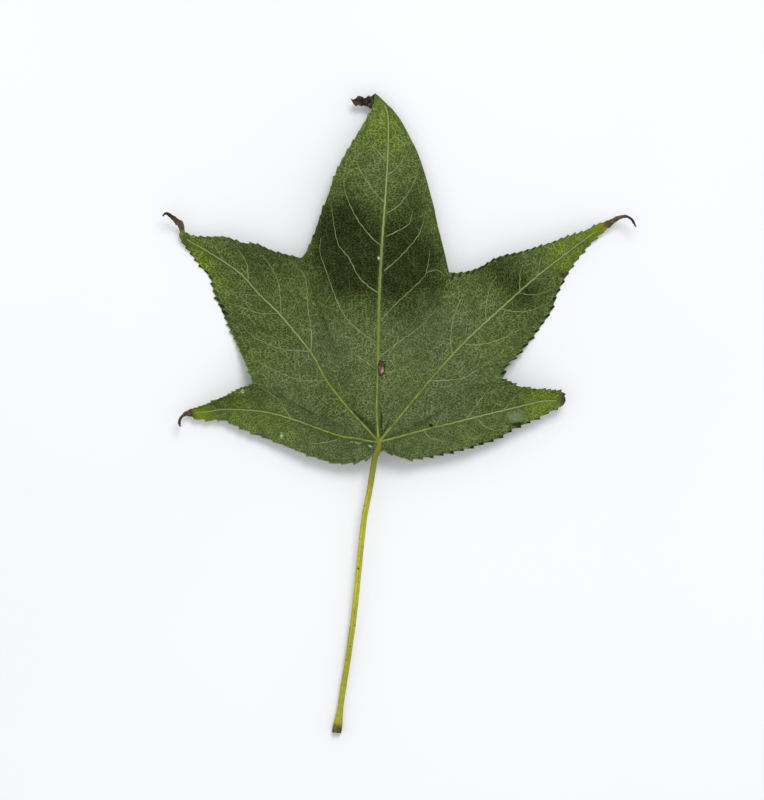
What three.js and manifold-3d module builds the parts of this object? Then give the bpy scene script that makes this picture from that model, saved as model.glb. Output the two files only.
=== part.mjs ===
// A sweetgum leaf lying face up: five toothed lobes, raised veins, dried curled tips and a stalk.
// Millimetres, +Z up. +Y runs from the stalk to the top lobe's tip. Plan points [x, y] are measured
// from the blade's base, where the stalk and the five main veins meet.
import * as THREE from "three";
import { mergeVertices } from "three/addons/utils/BufferGeometryUtils.js";
import Module from "manifold-3d";

const BLADE_THICKNESS = 0.7;
const BASE_HEIGHT = 7;
const TOOTH_DEPTH = 0.8;
const TOOTH_SHIFT = 0.2;
const TOOTHLESS_ROWS = 5;
const WAVES_PER_MARGIN = 3;
// Where along the main vein the rows start to bow, and where they reach their full bow
const BOW_START = 0.05;
const BOW_FULL = 0.4;

const VEIN_HALF_WIDTH = 0.9;
const VEIN_RISE = 0.3;
const VEIN_KEEL = 0.9;
const VEIN_TAPER = 0.6;
const VEIN_LARGEST_SHARE = 0.25;
const SIDE_VEIN_RISE = 0.22;
const SIDE_VEIN_KEEL = 0.35;
// Where a row's points lie, as shares of the way from the main vein to the margin
const COLUMNS = [0.36, 0.7, 1];

const STALK_RADIUS = 0.9;
const STALK_END_RADIUS = 1.4;
const STALK_STEPS = 36;
const STALK_SIDES = 10;
const STALK_FLARE_START = 0.9;

const ROLLED_EDGE_RADIUS = 0.75;
const ROLLED_EDGE_INSET = 0.3;
const ROLLED_EDGE_DROP = 0.2;
const ROLLED_EDGE_STEPS = 22;
const ROWS_PER_ROLLED_EDGE_POINT = 3;
const ROLLED_EDGE_SIDES = 6;

const CURL_SIDES = 8;
const CURL_STEPS = 18;
const CURL_HALF_THICKNESS = 0.6;
const CURL_TURN = 0.9;
const CURL_TURN_END = 0.5;

const SMALLEST_AREA = 1e-7;
const MERGE_DISTANCE = 1e-4;

// Where two lobes part: the plan point, the height there, and how many rows of the mesh lead to it
const SINUSES = {
  base: { at: [0, 0], height: BASE_HEIGHT, rows: 0 },
  topLeft: { at: [-25.5, 58.4], height: 6.2, rows: 18 },
  topRight: { at: [22.3, 53.8], height: 5.6, rows: 18 },
  lowLeft: { at: [-39.8, 18.4], height: 6.6, rows: 12 },
  lowRight: { at: [39.2, 20.1], height: 6.2, rows: 12 },
};

// Each lobe has a main vein from the base to the tip, the vein's heights at even steps, and two flanks.
// A flank's side is 1 on the left of the vein, as seen from the base, and -1 on the right. It has its
// margin from the sinus to the tip, the margin's lift at mid length, its wave, how far its rows bow
// towards the leaf's base, and where along the main vein its side veins start.
const LOBES = [
  {
    name: "top",
    rows: 48,
    vein: [[0, 0], [-0.6, 10.3], [-0.3, 21.5], [0.2, 44.9], [1.1, 62.7], [2.2, 78.5], [2.8, 88.6],
      [3.1, 99.2], [2.4, 105.4], [-1.1, 110.6]],
    heights: [BASE_HEIGHT, 6.6, 6.4, 4.6, 3.2],
    flanks: [
      {
        sinus: "topLeft",
        side: 1,
        margin: [[-25.5, 58.4], [-23.7, 58.7], [-21, 63.9], [-18.4, 71.5], [-16, 77.7], [-13.3, 85.4],
          [-10.6, 90.8], [-7.8, 95.4], [-6, 98.5], [-3.1, 103.5], [-1.7, 106.2], [-1.4, 108.5],
          [-1.1, 110.6]],
        lift: 1.6,
        wave: 0.9,
        bow: 0.13,
        sideVeins: [0.3, 0.42, 0.56, 0.69, 0.81, 0.9],
        toothed: true,
      },
      {
        sinus: "topRight",
        side: -1,
        margin: [[22.3, 53.8], [21.8, 56], [20.7, 60.8], [18.8, 68.4], [17.6, 74.1], [15.3, 82.8],
          [12.8, 90.7], [9.2, 98.1], [6.8, 102.3], [4.2, 105.7], [2.5, 107.2], [0.7, 109], [-1.1, 110.6]],
        lift: -1.6,
        wave: 0.5,
        bow: 0.13,
        sideVeins: [0.24, 0.36, 0.49, 0.65, 0.77, 0.87],
        toothed: false,
      },
    ],
  },
  {
    name: "upper left",
    rows: 46,
    vein: [[0, 0], [-3.5, 4.1], [-9.7, 10.8], [-16.6, 19.7], [-21.4, 28.3], [-31, 40.1], [-37.5, 46.5],
      [-44.4, 53.9], [-54.5, 60.6], [-58.6, 62.9], [-61.4, 65], [-62.4, 67.9]],
    heights: [BASE_HEIGHT, 7, 5.2, 3.4, 2.4],
    flanks: [
      {
        sinus: "lowLeft",
        side: 1,
        margin: [[-39.8, 18.4], [-40.1, 20.6], [-42.7, 26.3], [-46, 33.8], [-49.6, 41.7], [-51.9, 47],
          [-53.3, 51.9], [-56.5, 56.1], [-60, 60.6], [-62.4, 63.6], [-63.1, 65.8], [-62.4, 67.9]],
        lift: -5.6,
        wave: 0.6,
        bow: 0.1,
        sideVeins: [0.28, 0.4, 0.57, 0.68, 0.78],
        toothed: true,
      },
      {
        sinus: "topLeft",
        side: -1,
        margin: [[-25.5, 58.4], [-27.7, 58.9], [-33.1, 60.3], [-38.3, 62.5], [-43.2, 63], [-48.6, 64.9],
          [-54.6, 64.9], [-58.5, 65.2], [-61.1, 66.3], [-62.4, 67.9]],
        lift: 1.4,
        wave: 0.8,
        bow: 0.13,
        sideVeins: [0.4, 0.56, 0.69, 0.82],
        toothed: true,
      },
    ],
  },
  {
    name: "lower left",
    rows: 44,
    vein: [[0, 0], [-5.7, 0.3], [-12, 1.9], [-19.1, 4.7], [-27.6, 7.4], [-37, 9.7], [-48.6, 10.4],
      [-54.2, 9.6], [-61, 9]],
    heights: [BASE_HEIGHT, 6.6, 4.6, 2.8, 2.2],
    flanks: [
      {
        sinus: "base",
        side: 1,
        margin: [[0, 0], [-1, -2.4], [-3.5, -5.1], [-9, -6.6], [-14, -6.6], [-19.1, -5.1], [-25.8, -2.7],
          [-34.7, 0.9], [-43.2, 4.3], [-49.2, 7], [-53.5, 7], [-58.1, 7.6], [-61, 9]],
        lift: -1,
        wave: 0.8,
        bow: 0.1,
        sideVeins: [0.2, 0.34, 0.47, 0.68],
        toothed: true,
      },
      {
        sinus: "lowLeft",
        side: -1,
        margin: [[-39.8, 18.4], [-41, 17.8], [-43.7, 17], [-48.1, 14.7], [-52.1, 13], [-56.1, 11.3],
          [-59, 10.5], [-61, 9]],
        lift: 1.4,
        wave: 0.6,
        bow: 0.12,
        sideVeins: [0.28, 0.48, 0.68],
        toothed: true,
      },
    ],
  },
  {
    name: "upper right",
    rows: 50,
    vein: [[0, 0], [3.6, 4.2], [16.3, 19.6], [27.1, 31.5], [38.6, 42.2], [49.3, 51.8], [58.7, 59.2],
      [66.7, 65.2], [73.1, 69.3]],
    heights: [BASE_HEIGHT, 7.2, 5.6, 3.6, 2.6],
    flanks: [
      {
        sinus: "topRight",
        side: 1,
        margin: [[22.3, 53.8], [24.3, 53.4], [27.9, 53.8], [32.8, 55.6], [37.7, 58.3], [44.9, 60.1],
          [52.9, 62.5], [59.6, 64.9], [65.3, 66.8], [70.2, 69.3], [73.1, 69.3]],
        lift: 1.6,
        wave: 0.8,
        bow: 0.12,
        sideVeins: [0.37, 0.52, 0.67, 0.78],
        toothed: true,
      },
      {
        sinus: "lowRight",
        side: -1,
        margin: [[39.2, 20.1], [39.7, 21.9], [40.7, 24.6], [44, 27.5], [47.1, 31], [52, 37.5],
          [55.1, 42.4], [56.9, 47.8], [61.4, 55.8], [65.8, 61.4], [69, 64.8], [71.6, 67], [73.1, 69.3]],
        lift: -6,
        wave: 0.6,
        bow: 0.1,
        sideVeins: [0.25, 0.41, 0.56, 0.68, 0.77],
        toothed: true,
      },
    ],
  },
  {
    name: "lower right",
    rows: 40,
    vein: [[0, 0], [5, 1.3], [14.3, 3.8], [23.7, 6.1], [34.8, 8.9], [43.3, 10.9], [51, 12.8], [56.4, 13.1],
      [59.3, 13.1]],
    heights: [BASE_HEIGHT, 6.4, 5, 4, 4.4],
    flanks: [
      {
        sinus: "lowRight",
        side: 1,
        margin: [[39.2, 20.1], [42.2, 18.7], [44.6, 17.4], [47.9, 17], [54.8, 16.1], [58.2, 15.7],
          [59.3, 13.1]],
        lift: 0.9,
        wave: 0.5,
        bow: 0.12,
        sideVeins: [0.33, 0.5, 0.64, 0.76, 0.87],
        toothed: true,
      },
      {
        sinus: "base",
        side: -1,
        margin: [[0, 0], [1.4, -2.5], [5, -4.1], [10.1, -5.4], [14.8, -4.8], [21.2, -3.6], [31.4, -1.1],
          [38.2, 1.5], [42.5, 4.2], [46, 5.7], [52.2, 8.5], [56.1, 10.8], [59.3, 13.1]],
        lift: -0.8,
        wave: 0.7,
        bow: 0.1,
        sideVeins: [0.24, 0.45, 0.65, 0.8],
        toothed: true,
      },
    ],
  },
];

// The stalk's middle line: it leaves the blade's base and comes down to the surface at its cut end
const STALK = [[0.4, 4.5, 6.6], [-0.3, -1.3, 6.2], [-1.3, -6, 5.9], [-2.9, -15.6, 5.6], [-4.7, -25.3, 5.1],
  [-7, -47.5, 3.6], [-7.9, -55.7, 3], [-9.7, -68.7, 2.2], [-11.4, -79.4, 1.6], [-13, -90.7, 1.3],
  [-13.2, -92.4, 1.3]];

// The dried tips: middle line [x, y, height above the surface], and half widths at even steps along it
const CURLS = [
  {
    path: [[3.1, 106.4, 3.2], [-0.2, 107.6, 3], [-1.7, 108.1, 3], [-3.6, 107.9, 3.1], [-5.5, 107.9, 3.4],
      [-7.4, 107.8, 3.8], [-8.5, 108.3, 4.1]],
    halfWidths: [0.7, 1.3, 1.7, 1.7, 1.6, 1.2, 0.5],
  },
  {
    path: [[-61.4, 64.6, 2.9], [-62.2, 66.8, 2.9], [-62.5, 68, 3.1], [-62.9, 69.1, 3.5], [-63.7, 69.8, 4],
      [-64.7, 70.8, 4.6], [-65.8, 71.6, 5.2], [-66.7, 72.2, 5.5], [-67.6, 72.2, 5.5], [-68.2, 71.5, 5.2]],
    halfWidths: [0.6, 0.8, 0.8, 1.1, 1.2, 1, 0.8, 0.6, 0.5, 0.5],
  },
  {
    path: [[-58.4, 9.2, 2.8], [-60.1, 9.1, 2.8], [-61.2, 8.9, 3.1], [-61.9, 8.4, 3.6], [-62.6, 7.7, 4.1],
      [-63, 6.8, 4.6], [-63, 5.9, 4.9], [-62.7, 4.9, 4.9]],
    halfWidths: [1.1, 1, 0.8, 0.6, 0.5, 0.5, 0.5, 0.5],
  },
  {
    path: [[70.1, 67.6, 3.1], [72, 68.7, 3], [73.1, 69.3, 3], [74.4, 70.1, 3.2], [75.6, 70.8, 3.6],
      [76.7, 71.2, 4.2], [78.1, 71.4, 4.9], [79.1, 71.1, 5.3], [80.2, 70.3, 5.6], [80.8, 69.3, 5.5],
      [81.4, 68.2, 5.2]],
    halfWidths: [1, 1.3, 1.2, 0.9, 0.8, 0.7, 0.6, 0.5, 0.5, 0.5, 0.5],
  },
];

const { lerp, smoothstep } = THREE.MathUtils;

function planCurve(points) {
  return new THREE.SplineCurve(points.map(([x, y]) => new THREE.Vector2(x, y)));
}

// A value at the share t of the way along a list of values at even steps
function valueAlong(values, t) {
  const last = values.length - 1;
  return new THREE.SplineCurve(values.map((value, i) => new THREE.Vector2(i / last, value))).getPoint(t).y;
}

// Where a row meets the flank's outer side: on the line to the sinus, or past it on the margin, where
// every second row ends at the point of a tooth
function outerPoint(lobe, flank, margin, row) {
  const sinus = SINUSES[flank.sinus];
  if (row <= sinus.rows) {
    const s = sinus.rows ? row / sinus.rows : 0;
    const z = lerp(BASE_HEIGHT, sinus.height, smoothstep(s, 0, 1));
    return { x: sinus.at[0] * s, y: sinus.at[1] * s, z };
  }
  const peak = flank.toothed && row < lobe.rows && (row - sinus.rows) % 2 === 1;
  const shift = peak ? TOOTH_SHIFT : 0;
  const s = Math.min((row - sinus.rows + shift) / (lobe.rows - sinus.rows), 1);
  const point = margin.getPointAt(s);
  const tangent = margin.getTangentAt(s);
  const step = peak ? TOOTH_DEPTH * smoothstep(lobe.rows - row, 0, TOOTHLESS_ROWS) * flank.side : 0;
  const tipHeight = lobe.heights.at(-1);
  const wave = flank.wave * Math.sin(2 * Math.PI * WAVES_PER_MARGIN * s) * (1 - s);
  return {
    x: point.x - tangent.y * step,
    y: point.y + tangent.x * step,
    z: lerp(sinus.height, tipHeight, s) + flank.lift * Math.sin(Math.PI * s) + wave,
  };
}

// One half of a lobe as rows of points, each from the main vein out to the margin
function flankRows(lobe, flank) {
  const vein = planCurve(lobe.vein);
  const margin = planCurve(flank.margin);
  const ribRows = flank.sideVeins.map((t) => Math.round(t * lobe.rows));
  return Array.from({ length: lobe.rows + 1 }, (_, row) => {
    const t = row / lobe.rows;
    const root = vein.getPointAt(t);
    const outer = outerPoint(lobe, flank, margin, row);
    const across = new THREE.Vector2(outer.x - root.x, outer.y - root.y);
    const foot = Math.min(VEIN_HALF_WIDTH / Math.max(across.length(), VEIN_HALF_WIDTH), VEIN_LARGEST_SHARE);
    const bow = flank.bow * flank.side * smoothstep(t, BOW_START, BOW_FULL);
    const isRib = ribRows.includes(row);
    const mainVein = t > 0 && t < 1 ? 1 - VEIN_TAPER * t : 0;
    return [0, foot, ...COLUMNS].map((v, column) => {
      const bulge = bow * 4 * v * (1 - v);
      const z = Math.max(lerp(valueAlong(lobe.heights, t), outer.z, v * (2 - v)), 0);
      const sideVein = isRib && column > 0 && v < 1 ? 1 : 0;
      const rise = column === 0 ? VEIN_RISE * mainVein : SIDE_VEIN_RISE * sideVein;
      const keel = column === 0 ? VEIN_KEEL * mainVein : SIDE_VEIN_KEEL * sideVein;
      return {
        x: root.x + across.x * v - across.y * bulge,
        y: root.y + across.y * v + across.x * bulge,
        top: z + BLADE_THICKNESS + rise,
        bottom: Math.max(z - keel, 0),
      };
    });
  });
}

// The quads between two rows, split alike on both faces, and the wall that closes the margin
function stripTriangles(near, far, hasWall) {
  const onTop = (p) => new THREE.Vector3(p.x, p.y, p.top);
  const below = (p) => new THREE.Vector3(p.x, p.y, p.bottom);
  const triangles = [];
  for (let column = 0; column < near.length - 1; column += 1) {
    const [a, b, c, d] = [near[column], far[column], far[column + 1], near[column + 1]];
    triangles.push([a, b, c].map(onTop), [a, c, d].map(onTop));
    triangles.push([a, c, b].map(below), [a, d, c].map(below));
  }
  if (hasWall) {
    const [p, q] = [near.at(-1), far.at(-1)];
    triangles.push([onTop(p), onTop(q), below(q)], [onTop(p), below(q), below(p)]);
  }
  return triangles;
}

function bladeTriangles() {
  const triangles = [];
  for (const lobe of LOBES) {
    for (const flank of lobe.flanks) {
      const rows = flankRows(lobe, flank);
      for (let row = 0; row < lobe.rows; row += 1) {
        const strip = stripTriangles(rows[row], rows[row + 1], row >= SINUSES[flank.sinus].rows);
        triangles.push(...(flank.side > 0 ? strip : strip.map(([a, b, c]) => [a, c, b])));
      }
    }
  }
  return triangles;
}

// A closed skin of rings along a 3-D path. shapeAt(t) gives a ring's half width, half height and turn
function loftTriangles(path, steps, sides, shapeAt) {
  const curve = new THREE.CatmullRomCurve3(path.map((p) => new THREE.Vector3(...p)));
  const up = new THREE.Vector3(0, 0, 1);
  const rings = Array.from({ length: steps + 1 }, (_, step) => {
    const t = step / steps;
    const centre = curve.getPointAt(t);
    const along = curve.getTangentAt(t);
    const across = new THREE.Vector3().crossVectors(along, up).normalize();
    const over = new THREE.Vector3().crossVectors(across, along);
    const { halfWidth, halfHeight, turn } = shapeAt(t);
    return Array.from({ length: sides }, (_, side) => {
      const angle = (2 * Math.PI * side) / sides;
      const offset = new THREE.Vector2(halfWidth * Math.cos(angle), halfHeight * Math.sin(angle));
      offset.rotateAround(new THREE.Vector2(), turn);
      const point = centre.clone().addScaledVector(across, offset.x).addScaledVector(over, offset.y);
      return point.setZ(Math.max(point.z, 0));
    });
  });
  const triangles = [];
  for (let side = 0; side < sides; side += 1) {
    const next = (side + 1) % sides;
    for (let step = 0; step < steps; step += 1) {
      const [near, far] = [rings[step], rings[step + 1]];
      const [a, b, c, d] = [near[side], near[next], far[next], far[side]];
      triangles.push([a, c, b], [a, d, c]);
    }
    triangles.push([rings[0][0], rings[0][side], rings[0][next]]);
    triangles.push([rings[steps][0], rings[steps][next], rings[steps][side]]);
  }
  return triangles;
}

function stalkTriangles() {
  return loftTriangles(STALK, STALK_STEPS, STALK_SIDES, (t) => {
    const radius = lerp(STALK_RADIUS, STALK_END_RADIUS, smoothstep(t, STALK_FLARE_START, 1));
    return { halfWidth: radius, halfHeight: radius, turn: 0 };
  });
}

function curlTriangles({ path, halfWidths }) {
  return loftTriangles(path, CURL_STEPS, CURL_SIDES, (t) => ({
    halfWidth: valueAlong(halfWidths, t),
    halfHeight: CURL_HALF_THICKNESS,
    turn: CURL_TURN * smoothstep(t, 0, CURL_TURN_END),
  }));
}

// The top lobe's right edge is rolled under: a slim bead along its margin
function rolledEdgeTriangles() {
  const lobe = LOBES.find(({ name }) => name === "top");
  const flank = lobe.flanks.find(({ sinus }) => sinus === "topRight");
  const rows = flankRows(lobe, flank).slice(SINUSES.topRight.rows + 1);
  const path = rows.filter((_, i) => i % ROWS_PER_ROLLED_EDGE_POINT === 0).map((row) => {
    const edge = row.at(-1);
    return [edge.x - ROLLED_EDGE_INSET, edge.y, edge.bottom + ROLLED_EDGE_DROP];
  });
  return loftTriangles(path, ROLLED_EDGE_STEPS, ROLLED_EDGE_SIDES, () => {
    return { halfWidth: ROLLED_EDGE_RADIUS, halfHeight: ROLLED_EDGE_RADIUS, turn: 0 };
  });
}

function mergedGeometry(triangles) {
  const solidFaces = triangles.filter((face) => new THREE.Triangle(...face).getArea() > SMALLEST_AREA);
  const geometry = new THREE.BufferGeometry().setFromPoints(solidFaces.flat());
  return mergeVertices(geometry, MERGE_DISTANCE);
}

const wasm = await Module();
wasm.setup();

function toSolid(triangles) {
  const geometry = mergedGeometry(triangles);
  const vertProperties = geometry.attributes.position.array;
  const triVerts = new Uint32Array(geometry.index.array);
  return new wasm.Manifold(new wasm.Mesh({ numProp: 3, vertProperties, triVerts }));
}

function toGeometry(solid) {
  const { vertProperties, triVerts } = solid.getMesh();
  const geometry = new THREE.BufferGeometry();
  geometry.setAttribute("position", new THREE.BufferAttribute(vertProperties, 3));
  geometry.setIndex(new THREE.BufferAttribute(triVerts, 1));
  return geometry;
}

// The whole leaf is one solid, moved so that its box stands centred on the origin at height 0
function leafMesh() {
  const additions = [stalkTriangles(), rolledEdgeTriangles(), ...CURLS.map(curlTriangles)];
  const solid = additions.reduce((whole, piece) => whole.add(toSolid(piece)), toSolid(bladeTriangles()));
  const geometry = toGeometry(solid);
  geometry.computeBoundingBox();
  const { min, max } = geometry.boundingBox;
  geometry.translate(-(min.x + max.x) / 2, -(min.y + max.y) / 2, -min.z);
  geometry.computeVertexNormals();
  const green = new THREE.MeshStandardMaterial({ color: 0x4a6230, roughness: 0.55, metalness: 0 });
  const mesh = new THREE.Mesh(geometry, green);
  mesh.name = "leaf";
  return mesh;
}

const leaf = new THREE.Group();
leaf.add(leafMesh());

export default leaf;
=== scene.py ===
"""A green sweetgum leaf lying face up on a white surface, seen from straight above."""

import math

import bpy
import numpy as np
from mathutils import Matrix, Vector
from mathutils.bvhtree import BVHTree
from mathutils.kdtree import KDTree


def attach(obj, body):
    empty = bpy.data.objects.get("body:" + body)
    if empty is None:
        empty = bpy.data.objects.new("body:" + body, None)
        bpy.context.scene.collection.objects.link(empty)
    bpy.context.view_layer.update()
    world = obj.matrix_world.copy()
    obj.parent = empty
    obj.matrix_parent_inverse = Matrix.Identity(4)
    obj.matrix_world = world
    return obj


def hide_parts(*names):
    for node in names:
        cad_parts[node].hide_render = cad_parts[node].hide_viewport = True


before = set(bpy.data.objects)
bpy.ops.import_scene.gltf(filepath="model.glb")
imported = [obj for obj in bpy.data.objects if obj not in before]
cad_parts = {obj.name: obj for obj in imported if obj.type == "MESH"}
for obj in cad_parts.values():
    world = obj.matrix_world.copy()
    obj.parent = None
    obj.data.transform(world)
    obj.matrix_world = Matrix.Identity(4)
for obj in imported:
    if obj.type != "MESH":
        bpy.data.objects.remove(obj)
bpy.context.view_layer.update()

bl_info = {
    "name": "Sweetgum Leaf",
    "version": (1, 0, 0),
    "blender": (4, 5, 0),
    "location": "3D View > Sidebar > Leaf",
    "description": "Builds a sweetgum leaf with its veins, stalk and dried tips, and a stage to see it on",
    "category": "Add Mesh",
}

# The leaf's plan, in millimetres from the blade's base, where the stalk and the five main veins meet
MM = 0.001
BASE_IN_FRAME = (-6.631, -9.018)
BASE_HEIGHT = 7.0
TOOTH_SHIFT = 0.35
WAVES_PER_MARGIN = 3
TOOTHLESS_ROWS = 3.5

# Where two lobes part: the plan point, the height there, and how many rows of the blade lead to it
SINUSES = {
    "base": ((0.0, 0.0), BASE_HEIGHT, 0),
    "top left": ((-25.5, 58.4), 6.2, 18),
    "top right": ((22.3, 53.8), 5.6, 18),
    "low left": ((-39.8, 18.4), 6.6, 12),
    "low right": ((39.2, 20.1), 6.2, 12),
}

# Each lobe has a main vein from the base to the tip, heights along it at even steps, and two flanks, the
# left one first as seen from the base. A flank has its sinus, the margin's lift at mid length, its wave,
# how far its rows bow to the base, its teeth's size, how brown their points are and how many there are,
# and the margin's points between the sinus and the tip.
LOBES = {
    "top": {
        "rows": 48,
        "vein": [(0, 0), (-0.6, 10.3), (-0.3, 21.5), (0.2, 44.9), (1.1, 62.7), (2.2, 78.5), (2.8, 88.6),
                 (3.1, 99.2), (2.4, 105.4), (-1.1, 110.58)],
        "heights": [BASE_HEIGHT, 6.6, 6.4, 4.6, 3.2],
        "flanks": [
            ("top left", 1.6, 0.9, 0.13, 0.7, 0.0, 1.2,
             [(-23.7, 58.7), (-21, 63.9), (-18.4, 71.5), (-16, 77.7), (-13.3, 85.4), (-10.6, 90.8),
              (-7.8, 95.4), (-6, 98.5), (-3.1, 103.5), (-1.7, 106.2), (-1.4, 108.5)]),
            ("top right", -1.6, 0.5, 0.13, 0.0, 0.0, 1.0,
             [(21.8, 56), (20.7, 60.8), (18.8, 68.4), (17.6, 74.1), (15.3, 82.8), (12.8, 90.7), (9.2, 98.1),
              (6.8, 102.3), (4.2, 105.7), (2.5, 107.2), (0.7, 109)]),
        ],
    },
    "upper left": {
        "rows": 46,
        "vein": [(0, 0), (-3.5, 4.1), (-9.7, 10.8), (-16.6, 19.7), (-21.4, 28.3), (-31, 40.1),
                 (-37.5, 46.5), (-44.4, 53.9), (-54.5, 60.6), (-58.6, 62.9), (-61.4, 65), (-62.4, 67.9)],
        "heights": [BASE_HEIGHT, 7, 5.2, 3.4, 2.4],
        "flanks": [
            ("low left", -5.6, 0.6, 0.1, 1.15, 0.0, 1.4,
             [(-40.1, 20.6), (-42.7, 26.3), (-46, 33.8), (-49.6, 41.7), (-51.9, 47), (-53.3, 51.9),
              (-56.5, 56.1), (-60, 60.6), (-62.4, 63.6), (-63.1, 65.8)]),
            ("top left", 1.4, 0.4, 0.13, 0.75, 0.35, 1.2,
             [(-27.7, 58.9), (-33.1, 60.3), (-38.3, 62.5), (-43.2, 63), (-48.6, 64.9), (-54.6, 64.9),
              (-58.5, 65.2), (-61.1, 66.3)]),
        ],
    },
    "lower left": {
        "rows": 44,
        "vein": [(0, 0), (-2.3, 0.15), (-6.7, 1.05), (-12, 1.9), (-18.8, 4.2), (-27.6, 7.4), (-37, 9.7),
                 (-48.6, 10.4), (-54.2, 9.6), (-61, 9)],
        "heights": [BASE_HEIGHT, 6.6, 4.6, 2.8, 2.2],
        "flanks": [
            ("base", -1, 0.5, 0.1, 1.1, 0.0, 0.8,
             [(-1, -2.4), (-3.5, -5.1), (-9, -6.6), (-14, -6.6), (-19.1, -5.1), (-25.8, -2.7), (-34.7, 0.9),
              (-43.2, 4.3), (-49.2, 7), (-53.5, 7), (-58.1, 7.6)]),
            ("low left", 1.4, 0.3, 0.12, 0.6, 0.1, 1.0,
             [(-41, 17.8), (-43.7, 17), (-48.1, 14.7), (-52.1, 13), (-56.1, 11.3), (-59, 10.5)]),
        ],
    },
    "upper right": {
        "rows": 50,
        "vein": [(0, 0), (3.6, 4.2), (16.3, 19.6), (27.1, 31.5), (38.6, 42.2), (49.3, 51.8), (58.7, 59.2),
                 (66.7, 65.2), (73.1, 69.3)],
        "heights": [BASE_HEIGHT, 7.2, 5.6, 3.6, 2.6],
        "flanks": [
            ("top right", 1.6, 0.8, 0.12, 0.75, 0.9, 1.5,
             [(24.3, 53.4), (27.9, 53.8), (32.8, 55.6), (37.7, 58.3), (44.9, 60.1), (52.9, 62.5),
              (59.6, 64.9), (65.3, 66.8), (70.2, 69.3)]),
            ("low right", -6, 0.6, 0.1, 1.0, 1.0, 1.1,
             [(39.7, 21.9), (40.7, 24.6), (44, 27.5), (47.1, 31), (52, 37.5), (55.1, 42.4), (56.9, 47.8),
              (61.4, 55.8), (65.8, 61.4), (69, 64.8), (71.6, 67)]),
        ],
    },
    "lower right": {
        "rows": 40,
        "vein": [(0, 0), (5, 1.3), (14.3, 3.8), (23.7, 6.1), (34.8, 8.9), (43.3, 10.9), (51, 12.8),
                 (56.4, 13.1), (59.3, 13.1)],
        "heights": [BASE_HEIGHT, 6.4, 5, 4, 4.4],
        "flanks": [
            ("low right", 0.9, 0.25, 0.12, 0.9, 0.6, 1.0,
             [(42.2, 18.7), (44.6, 17.4), (47.9, 17), (54.8, 16.1), (58.2, 15.7)]),
            ("base", -0.8, 0.7, 0.1, 0.95, 1.0, 1.0,
             [(1.4, -2.5), (5, -4.1), (10.1, -5.4), (14.8, -4.8), (21.2, -3.6), (31.4, -1.1), (38.2, 1.5),
              (42.5, 4.2), (46, 5.7), (52.2, 8.5), (55.6, 10.4), (58.1, 11.4)]),
        ],
    },
}

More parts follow.
